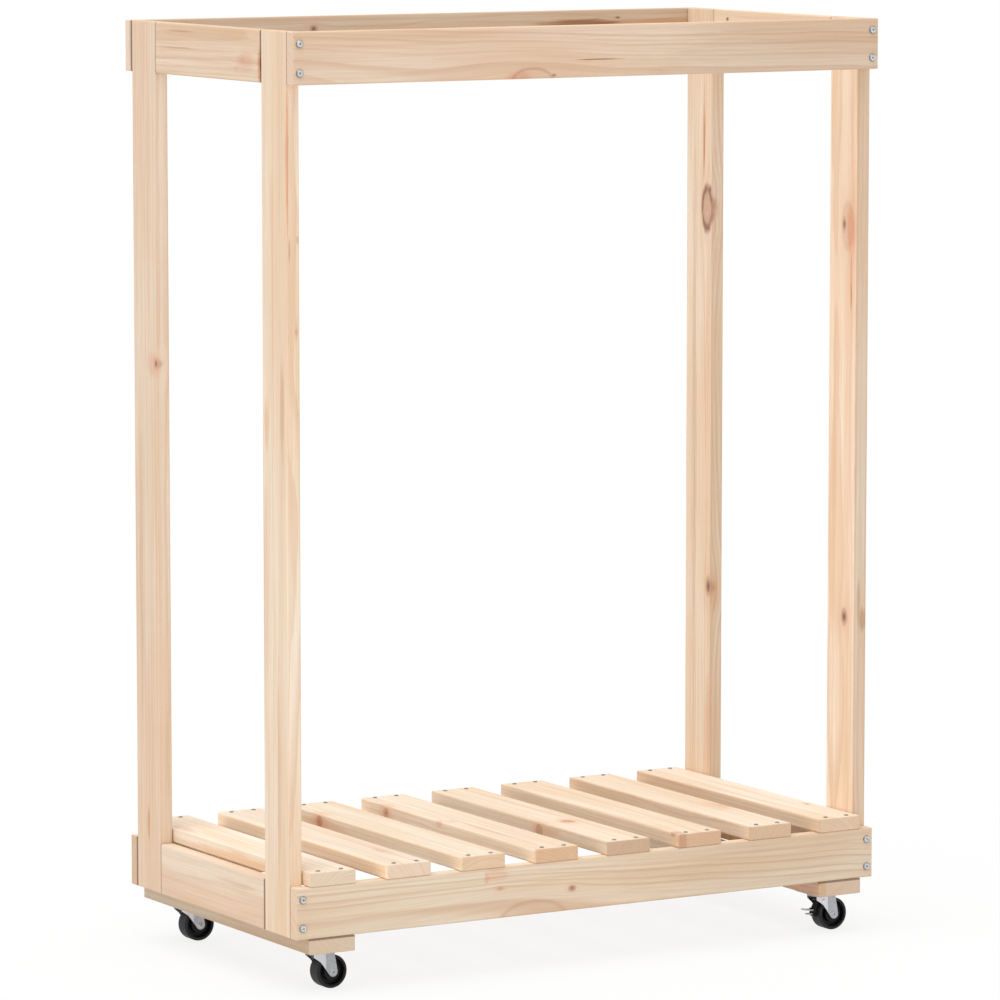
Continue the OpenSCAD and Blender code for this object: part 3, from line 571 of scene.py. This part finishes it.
dress_in_pine("post_back_left", "post", 2, pith=(-64, 22), ring=4.4, lines=0.35, thin=0.3,
              tone=(0.95, 0.94, 0.94),
              knots=[Knot((-26, 8, 112), (4.2, 10, 7), 0.35, 0.5, 0.2, 0.2)],
              stains=[narrow_edge(0.4, SAPWOOD_AND_LIGHT),
                      Stain((-18, 8, 110), (14, 8, 16), 0.85, PINK),
                      Stain((0, 8, -421), (4, 6, 22), 0.8, RED),
                      Stain((-10, 8, 300), (6, 6, 210), 0.5, PINK),
                      Stain((14, 8, -120), (5, 6, 260), 0.4, UMBER)])
dress_in_pine("post_front_right", "post", 3, pith=(12, -60), ring=3.6, lines=0.4, thin=0.4,
              tone=(1.18, 1.19, 1.20),
              knots=[Knot((-9, 8, 260), (12, 12, 27), NO_CORE, 0.22, 0.2, 0.3),
                     Knot((-2, 8, 261), (5, 12, 11), 0.35, 0.5, 0.2, 0.2),
                     Knot((-7, 8, -197), (7, 12, 11), 0.40, 0.55, 0.15, 0.3)],
              stains=[narrow_edge(1.0, HEARTWOOD_AND_SHADE),
                      Stain((-16, 8, 258), (10, 8, 32), 1.0, PINK),
                      Stain((-16.5, 8, 200), (1.6, 6, 42), 0.9, RED),
                      Stain((-17.3, 8, 180), (0.9, 5, 18), 0.8, CRACK),
                      Stain((-16, 8, 60), (12, 8, 430), 0.5, PINK),
                      Stain((-29, -2, -198), (9, 6, 15), 0.75, UMBER),
                      Stain((-29, 3, -174), (5, 3, 24), 0.5, UMBER),
                      Stain((16, 8, -60), (5, 8, 300), 0.35, ORANGE)])
dress_in_pine("post_back_right", "post", 4, pith=(-70, -30), ring=3.6, lines=0.45, thin=0.35,
              tone=(1.06, 1.07, 1.06),
              knots=[Knot((-17, 8, 261.6), (11, 14, 26), NO_CORE, 0.65, 0.95, 0.3, 0.40),
                     Knot((-23, 8, 284), (4.5, 8, 7), 0.45, 0.7, 0.3, 0.0),
                     Knot((-19.5, 8, 238), (5.5, 8, 4.5), 0.4, 0.7, 0.3, 0.0),
                     Knot((-23, 8, -195.5), (7, 12, 13), 0.42, 0.55, 0.15, 0.3)],
              stains=[narrow_edge(0.6, HEARTWOOD_AND_SHADE),
                      Stain((-10, 8, 352), (2.8, 6, 70), 0.9, RED),
                      Stain((-10, 8, 345), (1.4, 5, 40), 0.8, RED),
                      Stain((-22, 8, -380), (7, 8, 80), 0.7, PINK),
                      Stain((-29, 2, -205), (8, 6, 26), 0.5, ORANGE),
                      Stain((10, 8, 0), (6, 8, 380), 0.4, UMBER),
                      Stain((-18, 8, 70), (6, 8, 160), 0.5, PINK)])

# %% Side rails
dress_in_pine("top_side_rail_left", "side rail", 5, pith=(20, 48), ring=4.4, wander=13, lines=0.38,
              thin=0.3, tone=(0.94, 0.91, 0.88), butt=1.0,
              knots=[Knot((-16, -8, -69), (2.6, 10, 5), NO_CORE, 0.22, 0.1, 0.2),
                     Knot((-6, -8, -84), (2.6, 10, 5), NO_CORE, 0.15, 0.1, 0.2)],
              stains=[Stain((-10, -8, -123), (22, 6, 5), 1.0, RED),
                      Stain((-9, -8, -126), (9, 5, 1.8), 1.0, CRACK),
                      Stain((21, -8, 60), (1.6, 5, 40), 0.7, UMBER),
                      Stain((2, -8, 70), (1.4, 5, 60), 0.6, UMBER),
                      Stain((-8, -8, -90), (14, 6, 22), 0.7, PINK)])
dress_in_pine("bottom_side_rail_left", "side rail", 6, pith=(-8, 62), ring=5.0, wander=14, lines=0.25,
              thin=0.3, tone=(0.97, 0.97, 0.98), butt=1.0,
              stains=[Stain((-10, -8, 20), (5, 8, 110), 0.3, PINK),
                      Stain((12, -8, -60), (3, 6, 50), 0.4, UMBER)])
dress_in_pine("top_side_rail_right", "side rail", 7, pith=(24, -50), ring=4.0, wander=16, lines=0.4,
              tone=(1.05, 1.06, 1.02), butt=0.35,
              knots=[Knot((18.7, -8, 95), (2.6, 10, 3.4), 0.6, 0.5, 0.2, 0.1)])
dress_in_pine("bottom_side_rail_right", "side rail", 8, pith=(-40, -40), ring=4.0, butt=1.0)

# %% Long rails
dress_in_pine("top_rail_front", "long rail", 9, pith=(-50, -44), ring=6.2, wander=24, lean=0.03,
              lines=0.42, thin=0.4, tone=(0.97, 0.93, 0.91), ends=(228, 202, 178), lap=-1.0,
              knots=[Knot((-32, 8, -80), (16, 14, 29), NO_CORE, 0.15, 0.4, 0.2, 0.16),
                     Knot((-25.5, 8, -52.5), (2.2, 8, 4), 0.3, 0.5, 0.2, 0.0)],
              stains=[Stain((-27, 8, -97), (8, 8, 18), 1.0, PINK),
                      Stain((-9.2, 8, 3), (0.9, 3, 34), 1.0, CRACK),
                      Stain((0, 8, 330), (120, 10, 290), 0.5, HEARTWOOD_AND_SHADE)])
dress_in_pine("bottom_rail_front", "long rail", 10, pith=(-52, -40), ring=8.0, wander=26, lean=0.03,
              lines=0.62, thin=0.5, tone=(0.98, 1.0, 0.98), ends=(228, 200, 172), lap=-1.0,
              knots=[Knot((4.9, 8, -122), (2.4, 8, 4.5), 0.0, 0.4, 0.0, 0.45),
                     Knot((-3.5, 8, -27.2), (3.8, 8, 5.2), 0.3, 0.7, 0.3, 0.35),
                     Knot((-35, 8, -78), (24, 14, 48), NO_CORE, 0.12, 0.3, 0.15, 0.15)],
              stains=[Stain((22, 8, -126), (10, 6, 17), 0.75, PINK),
                      Stain((17, 8, -139.5), (8, 5, 3.5), 0.45, RED),
                      Stain((0, 8, 330), (120, 10, 290), 0.4, HEARTWOOD_AND_SHADE)])
# On the back rail, the first stain darkens the whole inner face: painted shade, as the front rail shades
# it.
dress_in_pine("top_rail_back", "long rail", 11, pith=(30, 46), ring=3.6, wander=18, lines=0.4,
              tone=(0.96, 0.92, 0.88), ends=(236, 216, 196), lap=1.0,
              knots=[Knot((14.5, 8, -146), (4.2, 10, 5.2), 0.4, 0.6, 0.3, 0.3),
                     Knot((19.4, 8, 268), (1.7, 10, 4.4), 0.5, 0.4, 0.2, 0.0)],
              stains=[Stain((10, 8, 0), (80, 7, 3000), 0.95, HEARTWOOD_AND_SHADE),
                      Stain((14, 8, 214), (5, 5, 62), 1.0, CRACK),
                      Stain((13, 8, 320), (5, 5, 90), 0.9, ORANGE)])
dress_in_pine("bottom_rail_back", "long rail", 12, pith=(-48, 46), ring=6.0, wander=22, lean=0.02,
              thin=0.4, ends=(206, 174, 144), lap=1.0, knots=[Knot((-9, -8, 160), (5, 12, 8))])

# %% Slats
# On slats 2 to 4, the stain over the narrow edge, the slat's left side, brightens it: painted light.
SLATS = [
    dict(pith=(20, 30), ring=5.0, wander=20, tone=(1.10, 1.22, 1.33), ends=(232, 210, 184),
         stains=[Stain((-29, 2, -30), (5, 7, 150), 0.8, ORANGE),
                 Stain((-6, -8, 40), (10, 5, 70), 0.3, ORANGE),
                 Stain((-18, -8, 120), (9, 5, 30), 0.4, UMBER)]),
    dict(pith=(-50, 34), ring=4.0, tone=(1.04, 1.11, 1.18), ends=(241, 214, 186),
         knots=[Knot((12, -8, -117), (5, 7, 10), NO_CORE, 0.1, 0.1, 0.4)],
         stains=[narrow_edge(0.9, PAINTED_LIGHT), Stain((-14, -8, 20), (4, 5, 130), 0.3, ORANGE)]),
    dict(pith=(8, 60), ring=4.4, wander=18, tone=(1.03, 1.12, 1.16), ends=(232, 198, 160),
         knots=[Knot((-29, 1, 128), (8, 7, 7), 0.0, 0.8, 0.2, 0.8)],
         stains=[narrow_edge(0.8, SAPWOOD_AND_LIGHT), Stain((-29, 2, 110), (6, 7, 60), 0.8, PINK)]),
    dict(pith=(-26, 52), ring=3.8, tone=(1.03, 1.11, 1.17), ends=(225, 178, 138),
         knots=[Knot((-16, -8, 6.5), (4, 6, 6), NO_CORE, 0.3, 0.2, 0.2),
                Knot((-29, -6, 15), (4, 5, 6), NO_CORE, 0.35, 0.2, 0.2),
                Knot((-29, 1, 140), (8, 5.5, 6), 0.15, 0.7, 0.3, 0.8)],
         stains=[narrow_edge(0.9, SAPWOOD_AND_LIGHT), Stain((-10, -8, -60), (3, 5, 60), 0.6, ORANGE)]),
    dict(pith=(36, 40), ring=4.2, tone=(1.0, 1.03, 1.03), ends=(202, 165, 132),
         knots=[Knot((4, -8, -60), (8, 4, 8), NO_CORE, 0.25, 0.1, 0.6),
                Knot((-29, 2, -50), (8, 8, 8), -0.2, 0.7, 0.2, 0.6)],
         stains=[Stain((2, -8, -61), (10, 4, 12), 0.7, RED),
                 Stain((-29, -1, -76), (6, 6, 22), 0.8, PINK),
                 Stain((12, -8, 60), (3, 5, 90), 0.5, ORANGE)]),
    dict(pith=(-10, 66), ring=4.0, tone=(1.0, 1.04, 1.04), ends=(216, 172, 135),
         knots=[Knot((-23, 2, -200), (4.6, 14, 7), NO_CORE, 0.5, 0.25, 0.4),
                Knot((-25, -8, -188), (7, 5, 6), -0.2, 0.6, 0.4, 0.3)],
         stains=[narrow_edge(0.3, ORANGE), Stain((-18, -8, -150), (7, 5, 40), 0.5, ORANGE)]),
    dict(pith=(44, 44), ring=4.6, wander=28, tone=(1.0, 1.03, 1.04), ends=(215, 178, 142),
         knots=[Knot((26, -8, -63), (5, 10, 10), NO_CORE, 0.2, 0.3, 0.6)],
         stains=[narrow_edge(0.3, ORANGE), Stain((14, -8, -60), (10, 5, 34), 0.5, ORANGE)]),
    dict(pith=(-30, 46), ring=4.0, tone=(1.02, 1.09, 1.14), ends=(225, 193, 160),
         knots=[Knot((18, -8, -104), (3, 9, 5), 0.3, 0.5, 0.2, 0.3)],
         stains=[narrow_edge(0.5, ORANGE), Stain((8, -8, 30), (4, 5, 110), 0.5, ORANGE)]),
]
seed_before_slats = 20
for number, wood in enumerate(SLATS, start=1):
    dress_in_pine(f"slat_{number}", "cross board", seed_before_slats + number, lines=0.36, thin=0.45,
                  **wood)

# %% Caster battens
# The left batten's darker tone is painted shade: its side sits 16 mm back under the side rails, in their
# shade.
dress_in_pine("caster_batten_left", "cross board", 31, pith=(30, -40), ring=4.6, tone=(0.79, 0.80, 0.77),
              ends=(226, 202, 178), lap=-1.0)
dress_in_pine("caster_batten_right", "cross board", 32, pith=(-34, -44), ring=4.0,
              tone=(0.92, 0.93, 0.94), ends=(214, 188, 164), lap=-1.0,
              knots=[Knot((10, 8, 60), (4, 10, 6))],
              stains=[Stain((-24, 0, -200), (6, 30, 12), 0.6, ORANGE),
                      Stain((-29, 0, -150), (5, 30, 60), 0.8, PINK)])
print("boards:", sum(material.name.startswith("pine_") for material in bpy.data.materials))

# %% [markdown]
# ## Zinc plate
# The casters and screws are steel with a thin layer of zinc. The layer is never quite even: it has soft
# clouds of brighter and duller metal, and the press leaves faint scratches. Both are noise in the metal's
# roughness and relief. The clouds change its colour too, but only a little, because it is the gloss that
# the eye reads on metal.

# %% Group: zinc plate
tree, given, result = new_group("zinc plate", {
    "Point": ("Vector", (0, 0, 0)), "Bright": ("Color", (0.8, 0.8, 0.8, 1)),
    "Dull": ("Color", (0.6, 0.6, 0.6, 1)), "Least Roughness": ("Float", 0.3),
    "Unevenness": ("Float", 0.12),
}, {"Color": "Color", "Roughness": "Float", "Height": "Float"})
clouds = tree.noise(tree.scaled(given["Point"], 260), detail=3, roughness=0.6)
scratches = tree.noise(tree.vector("MULTIPLY", given["Point"], (400, 3000, 3000)), detail=2)
color = tree.mix(tree.step(clouds, 0.35, 0.65), given["Bright"], given["Dull"])
rough = tree.math("MULTIPLY_ADD", clouds, given["Unevenness"], given["Least Roughness"])
tree.feed(result["Color"], color)
tree.feed(result["Roughness"], tree.math("MULTIPLY_ADD", scratches, 0.06, rough))
tree.feed(result["Height"], tree.math("MULTIPLY_ADD", clouds, 0.5, tree.math("MULTIPLY", scratches, 0.5)))
ZINC = tree
print("zinc plate:", len(tree.tree.nodes), "nodes")


def zinc_material(name, bright, dull, least_roughness, unevenness, shade_attribute=None, fold=None):
    """Zinc-plated steel: a metal whose colour and roughness change a little over the surface. unevenness is
    how much roughness the clouds add to the least. shade_attribute names a vertex attribute that is 1 where
    shade is painted into the colour as dark grey. fold is the x of a fold, and the steel ahead of it,
    towards -x, is painted brighter: a painted highlight, as the wing there is bent towards the lamp."""
    material, shader = plain_material(name, bright, least_roughness)
    shader.inputs["Metallic"].default_value = 1.0
    tree = Tree(material.node_tree)
    place = tree.put("TexCoord", {}, "Object")
    plate = place_group(tree, ZINC, Point=place, Bright=bright, Dull=dull,
                        Least_Roughness=least_roughness, Unevenness=unevenness)
    color = plate["Color"]
    if fold is not None:
        # Painted highlight: the steel ahead of the fold is painted paler, as the bent wing there faces the
        # lamp.
        half_fold = 0.5 * MM
        ahead = tree.step(tree.split(place)[0], fold + half_fold, fold - half_fold)
        painted_highlight_zinc = paint(222, 223, 226)
        color = tree.mix(ahead, color, painted_highlight_zinc)
    if shade_attribute:
        # Painted shade: dark grey where the attribute is 1, in a screw's recess and on the steep rim of its
        # head.
        painted_shade_grey = paint(112, 111, 110)
        color = tree.mix(tree.put("Attribute", {}, "Fac", attribute_name=shade_attribute), color, painted_shade_grey)
    tree.feed(shader.inputs["Base Color"], color)
    tree.feed(shader.inputs["Roughness"], plate["Roughness"])
    bump = tree.put("Bump", {"Strength": 0.3, "Distance": 0.05 * MM, "Height": plate["Height"]}, "Normal")
    tree.feed(shader.inputs["Normal"], bump)
    return material


satin_zinc = zinc_material("satin_zinc", paint(190, 191, 194), paint(180, 181, 185),
                           least_roughness=0.34, unevenness=0.16)
bright_zinc = zinc_material("bright_zinc", paint(236, 237, 240), paint(222, 223, 227),
                            least_roughness=0.16, unevenness=0.12)
screw_zinc = zinc_material("screw_zinc", paint(226, 226, 227), paint(200, 200, 203),
                           least_roughness=0.24, unevenness=0.14, shade_attribute="rim_recess_shade")
# A darker copy of the screw zinc for the slat screws: painted shade, as their small flush heads sit in
# shade.
shaded_slat_zinc = zinc_material("shaded_slat_zinc", paint(172, 170, 168), paint(140, 138, 136),
                          least_roughness=0.30, unevenness=0.12, shade_attribute="rim_recess_shade")

# %% [markdown]
# ## Black plastic and rubber
# The wheels are moulded: a hard, very dark plastic centre and a softer tyre, rougher and a little paler.
# Neither is fully black. A fine grain from the mould breaks up the gloss, and both carry a little dust from
# the floor, the tyre twice as much. The dust lies in smudges, which are noise of a larger scale than the
# grain.

# %% Group: moulded black
tree, given, result = new_group("moulded black", {
    "Point": ("Vector", (0, 0, 0)), "Black": ("Color", (0.03, 0.03, 0.03, 1)),
    "Dust": ("Color", (0.2, 0.2, 0.2, 1)), "Dust Amount": ("Float", 0.1),
    "Least Roughness": ("Float", 0.4),
}, {"Color": "Color", "Roughness": "Float", "Height": "Float"})
grain = tree.noise(tree.scaled(given["Point"], 2600), detail=2)
smudge = tree.noise(tree.scaled(given["Point"], 140), detail=4, roughness=0.65)
dusty = tree.math("MULTIPLY", tree.step(smudge, 0.45, 0.8), given["Dust Amount"])
tree.feed(result["Color"], tree.mix(dusty, given["Black"], given["Dust"]))
rough = tree.math("MULTIPLY_ADD", grain, 0.12, given["Least Roughness"])
tree.feed(result["Roughness"], tree.math("MULTIPLY_ADD", dusty, 0.4, rough))
tree.feed(result["Height"], grain)
MOULDED = tree
print("moulded black:", len(tree.tree.nodes), "nodes")


def moulded_material(name, black, least_roughness, dust, sheen):
    """Moulded black plastic or rubber with a fine grain and some dust. sheen is the strength of its
    reflections."""
    material, shader = plain_material(name, black, least_roughness)
    shader.inputs["Specular IOR Level"].default_value = sheen
    tree = Tree(material.node_tree)
    skin = place_group(tree, MOULDED, Point=tree.put("TexCoord", {}, "Object"), Black=black,
                       Dust=paint(120, 116, 110), Dust_Amount=dust, Least_Roughness=least_roughness)
    tree.feed(shader.inputs["Base Color"], skin["Color"])
    tree.feed(shader.inputs["Roughness"], skin["Roughness"])
    bump = tree.put("Bump", {"Strength": 0.25, "Distance": 0.03 * MM, "Height": skin["Height"]}, "Normal")
    tree.feed(shader.inputs["Normal"], bump)
    return material


black_plastic = moulded_material("black_plastic", paint(20, 20, 21), least_roughness=0.40, dust=0.05,
                                 sheen=0.2)
black_rubber = moulded_material("black_rubber", paint(28, 28, 29), least_roughness=0.52, dust=0.10,
                                sheen=0.38)

# %% [markdown]
# ## Finishes of the casters and fasteners
# Each node is matched to its finish by its name, without the two letters that tell its corner. The forks
# have a finish for each corner, because the fold between a leg and its wing, where a painted highlight
# starts, lies at another place on each.
# The dowels are of a harder, browner wood and show only their fibres.

# %% Casters and fasteners
FINISHES = {
    "caster_plate": satin_zinc, "axle": satin_zinc, "wheel": black_plastic, "tyre": black_rubber,
    "brake_pin": bright_zinc, "brake_pedal": satin_zinc, "brake_arm": black_plastic,
    "king_pins": satin_zinc, "race_balls": bright_zinc, "rail_screws": bright_zinc,
    "slat_screws": bright_zinc, "batten_screws": satin_zinc, "caster_screws": satin_zinc,
}
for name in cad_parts:
    for stem, finish in FINISHES.items():
        if name == stem or name[:-3] == stem:
            dress(name, finish)
fold_ahead_of_axle = 9 * MM
for corner in ("fl", "bl", "fr", "br"):
    wheel_low, wheel_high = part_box("wheel_" + corner)
    fold = (wheel_low.x + wheel_high.x) / 2 - fold_ahead_of_axle
    fork_zinc = zinc_material("fork_zinc_" + corner, paint(186, 187, 190), paint(174, 175, 178),
                              least_roughness=0.36, unevenness=0.16, fold=fold)
    dress("fork_" + corner, fork_zinc)
dowel_wood, dowel_shader = plain_material("dowel_wood", paint(214, 178, 132), 0.6)
dowel_tree = Tree(dowel_wood.node_tree)
dowel_fibres = place_group(dowel_tree, FIBRES, Point=dowel_tree.put("TexCoord", {}, "Object"), Seed=40.0)
dowel_color = dowel_tree.mix(dowel_fibres["Streaks"], paint(220, 186, 142), paint(196, 156, 110))
dowel_tree.feed(dowel_shader.inputs["Base Color"], dowel_color)
dress("side_rail_dowels", dowel_wood)
finish_trees = {name: piece.data.materials[0].node_tree for name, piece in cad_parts.items()}
print("undressed:", [name for name, tree in finish_trees.items() if not tree.links])

# %% [markdown]
# ## Screw heads
# The screws are the only metal on the frame, so the eye goes to them. A pressed screw head is a dome whose
# edge turns down steeply, with a cross-shaped recess that gets narrower and shallower towards its ends. It
# could be cut from a ball with boxes, but a cut leaves sharp edges that no press makes. One surface over
# radius and angle gives the dome and the recess together. Its columns crowd into the four arms of the
# cross, so that the walls of the recess stay smooth with few faces.

# %% Screw head surface
def screw_head(radius, height, rows=26, columns=72):
    """Points of a screw head about +Z, rows from the middle to the rim and columns round it, and its
    painted shade. The dome's height falls as (1 - (r/R)^2.6)^(1/2.2). An arm of the recess is a band of
    constant width w that ends at a reach s, with the depth D * (1 - r/s)^0.6 inside it. The painted shade
    is 1 in the depth of the recess, where shade falls, and fades towards its ends, and it grows to 0.8 at
    the rim, in place of the darker reflections of the dome's steep edge."""
    arm_width, arm_reach, depth = 0.11 * radius, 0.42 * radius, 0.5 * height
    widest_arm, wall_share = 0.22 * np.pi, 0.14
    r = radius * np.linspace(0.004, 1, rows)[:, None] ** 0.9
    turn = np.linspace(0, 4, columns, endpoint=False)[None, :]
    arm, within = np.round(turn), (turn - np.round(turn)) * 2
    edge = np.minimum(np.arcsin(np.minimum(arm_width / r, 1)), widest_arm)
    inside = np.abs(within) <= 0.5
    spread = np.where(inside, edge * within * 2,
                      np.sign(within) * (edge + (np.pi / 4 - edge) * (np.abs(within) - 0.5) * 2))
    angle = arm * np.pi / 2 + spread
    wall = np.clip((0.5 - np.abs(within)) / wall_share, 0, 1)
    wall = wall * wall * (3 - 2 * wall)
    recess = depth * wall * np.clip(1 - r / arm_reach, 0, 1) ** 0.6
    z = height * np.clip(1 - (r / radius) ** 2.6, 0, 1) ** (1 / 2.2) - recess
    # Painted shade: 1 deep in the recess, and 0.8 at the rim in place of the darker reflections there.
    rim_recess_shade = 0.8 * np.clip((r / radius - 0.64) / 0.3, 0, 1) + 1.2 * recess / depth
    return np.stack([r * np.cos(angle), r * np.sin(angle), z], -1), np.clip(rim_recess_shade, 0, 1)


def surface_piece(name, sheets, values, value_name, material, body, node):
    """A new piece from sheets of points that close round their columns, with one value kept at each point.
    sheets has the shape (sheets, rows, columns, 3)."""
    count, rows, columns = sheets.shape[:3]
    index = np.arange(count * rows * columns).reshape(count, rows, columns)
    after = np.roll(index, -1, axis=2)
    faces = np.stack([index[:, :-1], index[:, 1:], after[:, 1:], after[:, :-1]], -1).reshape(-1, 4)
    mesh = bpy.data.meshes.new(name)
    mesh.from_pydata(sheets.reshape(-1, 3), [], faces)
    mesh.polygons.foreach_set("use_smooth", np.ones(len(faces), bool))
    kept = mesh.attributes.new(value_name, "FLOAT", "POINT")
    kept.data.foreach_set("value", values.ravel().astype(np.float32))
    mesh.materials.append(material)
    piece = bpy.data.objects.new(name, mesh)
    bpy.context.collection.objects.link(piece)
    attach(piece, body)
    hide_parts(node)


# %% [markdown]
# ## The screws in their places
# The heads sit in pairs, two at each end of every long rail and every slat. Nobody lines up the cross of a
# screw, so each is turned by its own angle, a fixed step from the one before that never repeats.

# %% Rail and slat screws
GOLDEN_TURN = np.pi * (3 - 5 ** 0.5)
low, high = (np.array(corner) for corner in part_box("bottom_rail_front"))
top_low, top_high = (np.array(corner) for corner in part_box("top_rail_back"))
BOARD_W, BOARD_T = high[2] - low[2], high[1] - low[1]


def placed(head, origins, normals):
    """Copies of a head at each origin, with the head's +Z along each normal, turned by golden steps."""
    sheets = []
    for number, (origin, normal) in enumerate(zip(origins, normals)):
        upright = Vector(normal).to_track_quat("Z", "Y").to_matrix()
        turn = upright @ Matrix.Rotation(number * GOLDEN_TURN, 3, "Z")
        sheets.append(head @ np.array(turn).T + np.array(origin))
    return np.array(sheets)


rail_head_radius, rail_head_height, inset = 4.5 * MM, 2.4 * MM, 13 * MM
rail_head, rail_rim_recess_shade = screw_head(rail_head_radius, rail_head_height)
columns_x = [low[0] + BOARD_T / 2, high[0] - BOARD_T / 2]
rows_z = [low[2] + inset, high[2] - inset, top_low[2] + inset, top_high[2] - inset]
places = [((x, y, z), (0, np.sign(y), 0)) for y in (low[1], -low[1]) for z in rows_z for x in columns_x]
heads = placed(rail_head, *zip(*places))
surface_piece("rail_screw_heads", heads, np.tile(rail_rim_recess_shade, (len(heads), 1, 1)), "rim_recess_shade", screw_zinc,
              "frame", "rail_screws")
print("rail screws:", len(heads), "heads of", heads.shape[1:3], "points")

slat_head_radius, slat_head_height = 2.6 * MM, 1.3 * MM
slat_head, slat_rim_recess_shade = screw_head(slat_head_radius, slat_head_height, rows=16, columns=48)
slat_boxes = [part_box(f"slat_{i}") for i in range(1, 9)]
slat_middles = [(np.array(first) + np.array(last)) / 2 for first, last in slat_boxes]
slat_top = slat_boxes[0][1][2]
places = [((middle[0] + row * BOARD_W / 4, side * (high[1] + low[1]) / 2, slat_top), (0, 0, 1))
          for middle in slat_middles for side in (1, -1) for row in (-1, 1)]
heads = placed(slat_head, *zip(*places))
surface_piece("slat_screw_heads", heads, np.tile(slat_rim_recess_shade, (len(heads), 1, 1)), "rim_recess_shade", shaded_slat_zinc,
              "frame", "slat_screws")
print("slat screws:", len(heads), "heads")
